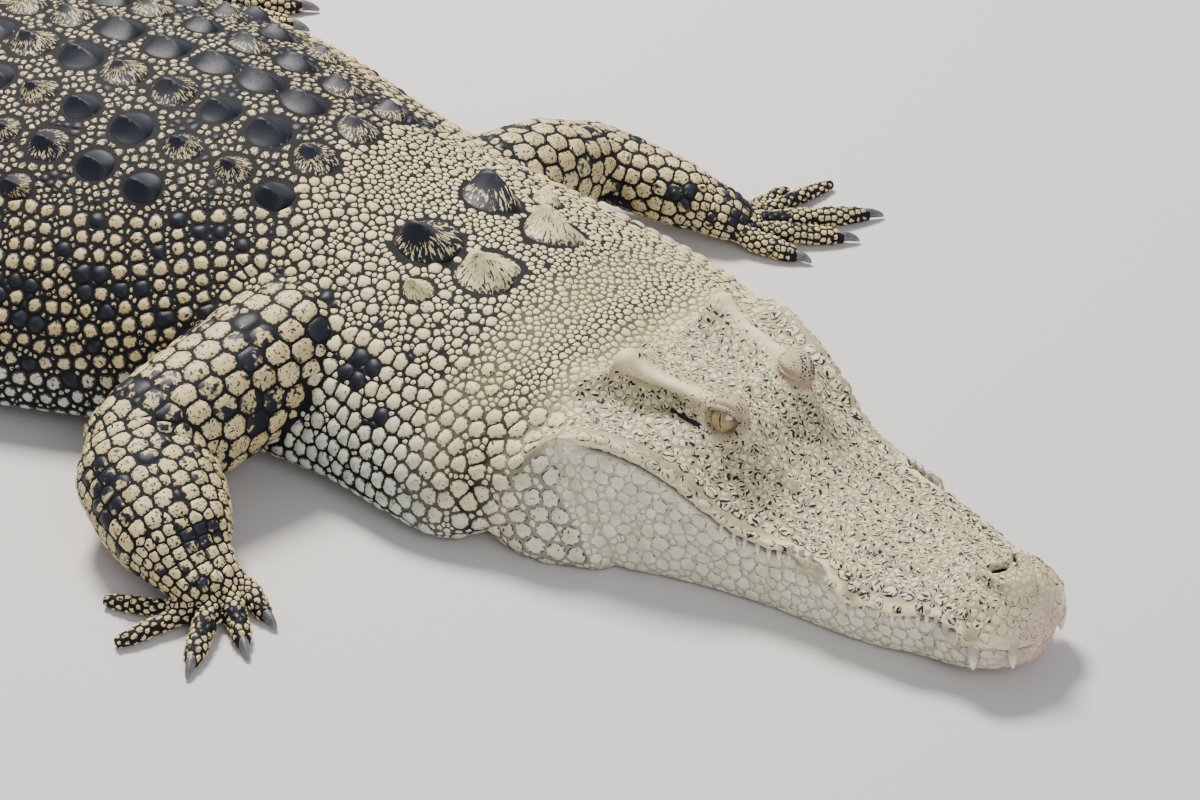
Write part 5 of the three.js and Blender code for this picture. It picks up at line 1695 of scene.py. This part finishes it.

# %% [markdown]
# The skin under the scales is what shows as thin dark seams on the back and legs, and as pale or
# greenish lines on the jaw.
# Its darkness also holds painted shade: in the nostril and ear slits, along the mouth line and where the
# lids meet the eye.

# %% The skin
FLESH = ["head", "lower_jaw", "neck", "trunk"] + [f"tail_length_{k}" for k in range(1, 6)] + [
    f"{side}_{part}" for side in ("right", "left")
    for part in ("upper_arm", "forearm", "hand", "thigh", "shank", "foot")]
skin = mesh_object("skin", skin_v, skin_t)
skin_rand = np.full(len(skin_v), .5)
skin_tint = markings(skin_v, skin_s, skin_girth, skin_share, skin_leg, skin_rand)[0]
# Darkness of the skin: its own dark seams, and painted shade in the slits and creases below.
seams_and_painted_shade = np.clip(ease(skin_s, .48, .58) * (1 - .55 * ease(skin_share, .66, .82)) * (1 - .25 * bump(
    skin_s, .62, .06)), 0, 1)
head_seam = (1 - ease(skin_s, .52, .60)) * (.46 - .10 * ease(skin_share, .50, .58)) * ease(skin_s, .0, .05)
seams_and_painted_shade = np.where(skin_leg >= 0, .95, np.maximum(seams_and_painted_shade, head_seam))
eye_away = np.minimum(*[np.linalg.norm(skin_v - eye_frame(e)[0], axis=1) for e in (-1, 1)])
skin_a, skin_up = np.abs(body_out), loft_up[body_i]
table_bar = near_line(skin_a, skin_up, table_line(skin_s), brow_up(skin_s), .014) * span(skin_s, .395,
                                                                                         .505, .01)
bare = np.maximum((1 - ease(eye_away, .026, .034)) * (skin_s < .5), table_bar)
lip_band = near_line(skin_a, skin_up, lip_out(skin_s), lip_up(skin_s), .013) * (skin_s < .50)
bare = np.maximum(bare, ease(lip_band, .15, .5) * (skin_leg < 0))
seams_and_painted_shade = seams_and_painted_shade * (1 - .92 * bare)
# Painted shade: the mouth line, where the lips meet, is made dark.
crease = near_line(skin_a, skin_up, lip_out(skin_s), lip_up(skin_s), .0030) * (1 - ease(skin_s, .46, .49))
seams_and_painted_shade = np.maximum(seams_and_painted_shade, crease * (skin_leg < 0) * .85)
behind_fold = ease(skin_s - THROAT_FOLD(np.maximum(skin_up, 0)), .004, .012) * ease(skin_share, .42, .50)
seams_and_painted_shade = np.maximum(seams_and_painted_shade, .58 * behind_fold * (1 - ease(skin_s, .60, .70)) * (skin_leg < 0))
# Painted shade: the ear slit behind the eye is made dark.
ear = bump(skin_share, TEMPLE, .0075) * span(skin_s, .392, .436, .010) * (skin_leg < 0)
seams_and_painted_shade = np.maximum(seams_and_painted_shade, ease(ear, .25, .6))
# Painted shade: the nostril slits and the ear slit are made dark.
seams_and_painted_shade = np.maximum(seams_and_painted_shade, np.clip(skin_hole * 1.6, 0, 1))
# Painted shade: a dark line where the lids meet the eye.
lid_line = np.zeros(len(skin_v))
for side in (-1, 1):
    centre, look, rear, rise = eye_frame(side)
    away = skin_v - centre
    x, y, z = away @ rear, away @ rise, away @ look
    gap = lid_gap(x, y)
    lid_line = np.maximum(lid_line, bump(gap, .0002, .0013) * (z > 0) * (eye_away < .03))
seams_and_painted_shade = np.maximum(seams_and_painted_shade, .85 * lid_line)
attribute(skin.data, "tint", "FLOAT_COLOR", np.column_stack([skin_tint, np.ones(len(skin_v))]))
attribute(skin.data, "dark", "FLOAT", seams_and_painted_shade)
u, v = root_uv(skin_s, skin_girth, skin_side, skin_leg, skin_leg_t, skin_leg_turn)
set_uv(skin.data, skin_t, np.column_stack([u, v]))

hide, add, links, shader = new_finish("skin between the scales")
place_node = add("ShaderNodeTexCoord").outputs["Object"]
tint_node = read(add, "tint", "Color")
dark_node = read(add, "dark")
cloud = cloud_node(add, place_node, 60.0, 5.0)
pebble = add("ShaderNodeTexVoronoi", feature="DISTANCE_TO_EDGE",
             inputs={"Vector": place_node, "Scale": 260.0})
# The skin is mixed towards black by its dark seams and by painted shade in slits and creases.
dark_seams_and_shade_mix = math_node(add, "MULTIPLY", dark_node, math_node(add, "MULTIPLY_ADD", cloud, .3, 1.0), clamp=True)
links.new(mix_colour(add, dark_seams_and_shade_mix, tint_node, (.006, .0065, .008, 1)), shader.inputs["Base Color"])
shader.inputs["Roughness"].default_value = .70
shader.inputs["Specular IOR Level"].default_value = .18
bump_node = add("ShaderNodeBump",
                inputs={"Height": ramp(add, pebble.outputs["Distance"], .0, .12), "Strength": .4,
                                          "Distance": .0005})
links.new(bump_node.outputs[0], shader.inputs["Normal"])
skin.data.materials.append(hide)
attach(skin, "root")
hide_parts(*FLESH)

# %% [markdown]
# The eye's finish follows the line of sight: a dark slit in a yellow-brown iris with fine rays, a dark
# ring round it, and a wet surface. Claws are grey horn with growth lines, paler where they are worn.
# Teeth are ivory, stained at the root.

# %% Finishes of eyes, claws and teeth
eye_finish, add, links, shader = new_finish("eye")
seen = read(add, "seen", "Vector")
x, y, z = add("ShaderNodeSeparateXYZ", inputs={0: seen}).outputs
square = lambda v: math_node(add, "MULTIPLY", v, v)
radius = math_node(add, "SQRT", math_node(add, "ADD", square(x), square(y)))
angle = math_node(add, "ARCTAN2", y, x)
fan = add("ShaderNodeCombineXYZ",
          inputs={"X": math_node(add, "MULTIPLY", math_node(add, "COSINE", angle), 9.0),
          "Y": math_node(add, "MULTIPLY", math_node(add, "SINE", angle), 9.0),
          "Z": math_node(add, "MULTIPLY", radius, 3.0)})
rays = cloud_node(add, fan.outputs[0], 1.6, 4.0)
iris = mix_colour(add, ramp(add, rays, .36, .68), (.36, .27, .085, 1), (.17, .115, .035, 1))
iris = mix_colour(add, ramp(add, radius, .50, .80), iris, (.055, .035, .02, 1))
leaning = math_node(add, "SUBTRACT", x, math_node(add, "MULTIPLY", y, .25))
slit = math_node(add, "ADD", square(math_node(add, "DIVIDE", leaning, .062)),
                 square(math_node(add, "DIVIDE", y, .46)))
pupil = math_node(add, "SUBTRACT", 1.0, ramp(add, slit, .75, 1.25))
edge_glow = math_node(add, "MULTIPLY", ramp(add, slit, 4.5, 1.3), .45)
iris = mix_colour(add, edge_glow, iris, (.46, .38, .15, 1))
links.new(mix_colour(add, pupil, iris, (.004, .004, .005, 1)), shader.inputs["Base Color"])
shader.inputs["Roughness"].default_value = .08
shader.inputs["Coat Weight"].default_value = 1.0
shader.inputs["Coat Roughness"].default_value = .02

claw_finish, add, links, shader = new_finish("claw horn")
along = read(add, "along")
place_node = add("ShaderNodeTexCoord").outputs["Object"]
cloud = cloud_node(add, place_node, 140.0, 5.0)
horn = mix_colour(add, ramp(add, cloud, .35, .68), (.120, .122, .135, 1), (.050, .052, .062, 1))
horn = mix_colour(add, math_node(add, "MULTIPLY", ramp(add, along, .62, 1.0), .45), horn,
                  (.26, .25, .24, 1))
lines = math_node(add, "SINE", math_node(add, "ADD", math_node(add, "MULTIPLY", along, 95.0),
                                         math_node(add, "MULTIPLY", cloud, 9.0)))
horn = mix_colour(add, math_node(add, "MULTIPLY", ramp(add, lines, .2, 1.0), .30), horn, (.30, .28, .25, 1))
links.new(horn, shader.inputs["Base Color"])
grain = add("ShaderNodeBump",
            inputs={"Height": math_node(add, "ADD", cloud, math_node(add, "MULTIPLY", lines, .15)),
                                      "Strength": .35, "Distance": .0005})
links.new(grain.outputs[0], shader.inputs["Normal"])
shader.inputs["Roughness"].default_value = .38

tooth_finish, add, links, shader = new_finish("tooth")
along = read(add, "along")
place_node = add("ShaderNodeTexCoord").outputs["Object"]
cloud = cloud_node(add, place_node, 190.0, 5.0)
ivory = mix_colour(add, ramp(add, cloud, .35, .70), (.80, .76, .69, 1), (.62, .57, .50, 1))
stain = math_node(add, "MULTIPLY", math_node(add, "SUBTRACT", 1.0, ramp(add, along, .30, .62)), .75)
links.new(mix_colour(add, stain, ivory, (.30, .25, .20, 1)), shader.inputs["Base Color"])
grain = add("ShaderNodeBump", inputs={"Height": cloud, "Strength": .25, "Distance": .0004})
links.new(grain.outputs[0], shader.inputs["Normal"])
shader.inputs["Roughness"].default_value = .24

# %% Put in eyes, claws, teeth and crest
for side, name in ((-1, "right"), (1, "left")):
    v, tris, seen_at = eyeball(side)
    obj = mesh_object(f"{name}_eyeball", v, tris)
    attribute(obj.data, "seen", "FLOAT_VECTOR", seen_at)
    obj.data.materials.append(eye_finish)
    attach(obj, "root")
    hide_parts(f"{name}_eye")
for node, (v, tris, along_at) in claw_parts.items():
    obj = mesh_object(node.replace("_claw_", "_horn_"), v, tris)
    attribute(obj.data, "along", "FLOAT", along_at)
    obj.data.materials.append(claw_finish)
    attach(obj, "root")
    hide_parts(node)
teeth = set_rows("teeth", tooth_unit, tooth_at, tooth_way,
                 np.cross(np.cross(tooth_way, -tooth_in), tooth_way),
                 tooth_sizes, tooth_finish)
attribute(teeth.data, "along", "FLOAT", np.tile(tooth_unit[0][:, 0], len(tooth_at)))
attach(teeth, "root")
crest = set_rows("tail_crest", blade_unit, crest_at, crest_rear, crest_up, crest_sizes,
                 finishes["tail bands"])
per = len(blade_unit[0])
crest_rand = rng.random(len(crest_at))
crest_tint, crest_dark = markings(crest_at, crest_s[:, 0], np.zeros(len(crest_at)), np.zeros(len(crest_at)),
                                  np.full(len(crest_at), -1), crest_rand)
crest_dark = np.repeat(crest_dark, per)
unit_height = np.tile(blade_unit[0][:, 2], len(crest_at))
attribute(crest.data, "tint", "FLOAT_COLOR",
          np.column_stack([np.repeat(crest_tint, per, 0), np.ones(len(crest_dark))]))
attribute(crest.data, "dark", "FLOAT", np.maximum(crest_dark, .45 * ease(unit_height, .5, 1)))
attribute(crest.data, "edge", "FLOAT", 1 - ease(unit_height, -.05, .12))
attribute(crest.data, "petal", "FLOAT_VECTOR", np.column_stack([
    np.tile(blade_unit[0][:, 0], len(crest_at)), unit_height, np.repeat(crest_rand * 10, per)]))
u, v = root_uv(crest_s[:, 0], np.zeros(len(crest_s)), 0, np.full(len(crest_s), -1), 0, 0)
crest_tris = np.array([p.vertices[:] for p in crest.data.polygons])
set_uv(crest.data, crest_tris,
       np.column_stack([np.repeat(u, per), np.repeat(v, per) + unit_height * .0015]))
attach(crest, "root")

# %% [markdown]
# The floor is a plain pale board, and the light is that of a bright, thinly clouded day: a broad soft
# key from high behind the animal, a wide fill from in front, and a pale sky.

# %% Floor, light and camera
FLOOR_HALF, FLOOR_TOP = 14.0, -.0005
floor_corners = [(x * FLOOR_HALF, y * FLOOR_HALF, FLOOR_TOP) for x,
                 y in ((-1, -1), (1, -1), (1, 1), (-1, 1))]
floor = mesh_object("floor", np.array(floor_corners), np.array([(0, 1, 2), (0, 2, 3)]), smooth=False)
floor_paint = bpy.data.materials.new("pale floor")
floor_paint.use_nodes = True
shader = floor_paint.node_tree.nodes["Principled BSDF"]
shader.inputs["Base Color"].default_value = (.60, .565, .545, 1)
shader.inputs["Roughness"].default_value = .75
floor.data.materials.append(floor_paint)

def soft_light(name, at, to, size, power, colour):
    lamp = bpy.data.lights.new(name, "AREA")
    lamp.shape, lamp.size, lamp.energy, lamp.color = "DISK", size, power, colour
    obj = bpy.data.objects.new(name, lamp)
    obj.location = at
    obj.rotation_euler = (Vector(to) - Vector(at)).to_track_quat("-Z", "Y").to_euler()
    bpy.context.scene.collection.objects.link(obj)
    return obj

LOOK_AT = LEG_MARK
CAMERA_AWAY, CAMERA_RISE, CAMERA_WAY = 3.806, math.radians(34.5), math.radians(118)
ahead = np.array([math.cos(CAMERA_WAY), math.sin(CAMERA_WAY), 0])
aside = np.array([ahead[1], -ahead[0], 0])
soft_light("key", LOOK_AT + ahead * 2.4 - aside * 1.2 + [0, 0, 4.2], LOOK_AT, 1.5, 520, (1.0, .965, .90))
soft_light("fill", LOOK_AT - ahead * 4.0 + aside * 1.5 + [0, 0, 3.0], LOOK_AT, 3.5, 110, (.95, .97, 1.0))
world = bpy.data.worlds.new("sky")
world.use_nodes = True
world.node_tree.nodes["Background"].inputs["Color"].default_value = (.86, .92, 1.0, 1)
world.node_tree.nodes["Background"].inputs["Strength"].default_value = .50
bpy.context.scene.world = world

camera_at = LOOK_AT - ahead * CAMERA_AWAY * math.cos(CAMERA_RISE) + [0, 0,
                                                                     CAMERA_AWAY * math.sin(CAMERA_RISE)]
lens = bpy.data.cameras.new("camera")
SENSOR, HALF_VIEW = 36, math.radians(10)
lens.sensor_width = SENSOR
lens.lens = SENSOR / 2 / math.tan(HALF_VIEW)
camera = bpy.data.objects.new("camera", lens)
camera.location = camera_at
camera.rotation_euler = Vector(LOOK_AT - camera_at).to_track_quat("-Z", "Y").to_euler()
bpy.context.scene.collection.objects.link(camera)
bpy.context.scene.camera = camera

# %% The end
bpy.context.view_layer.update()
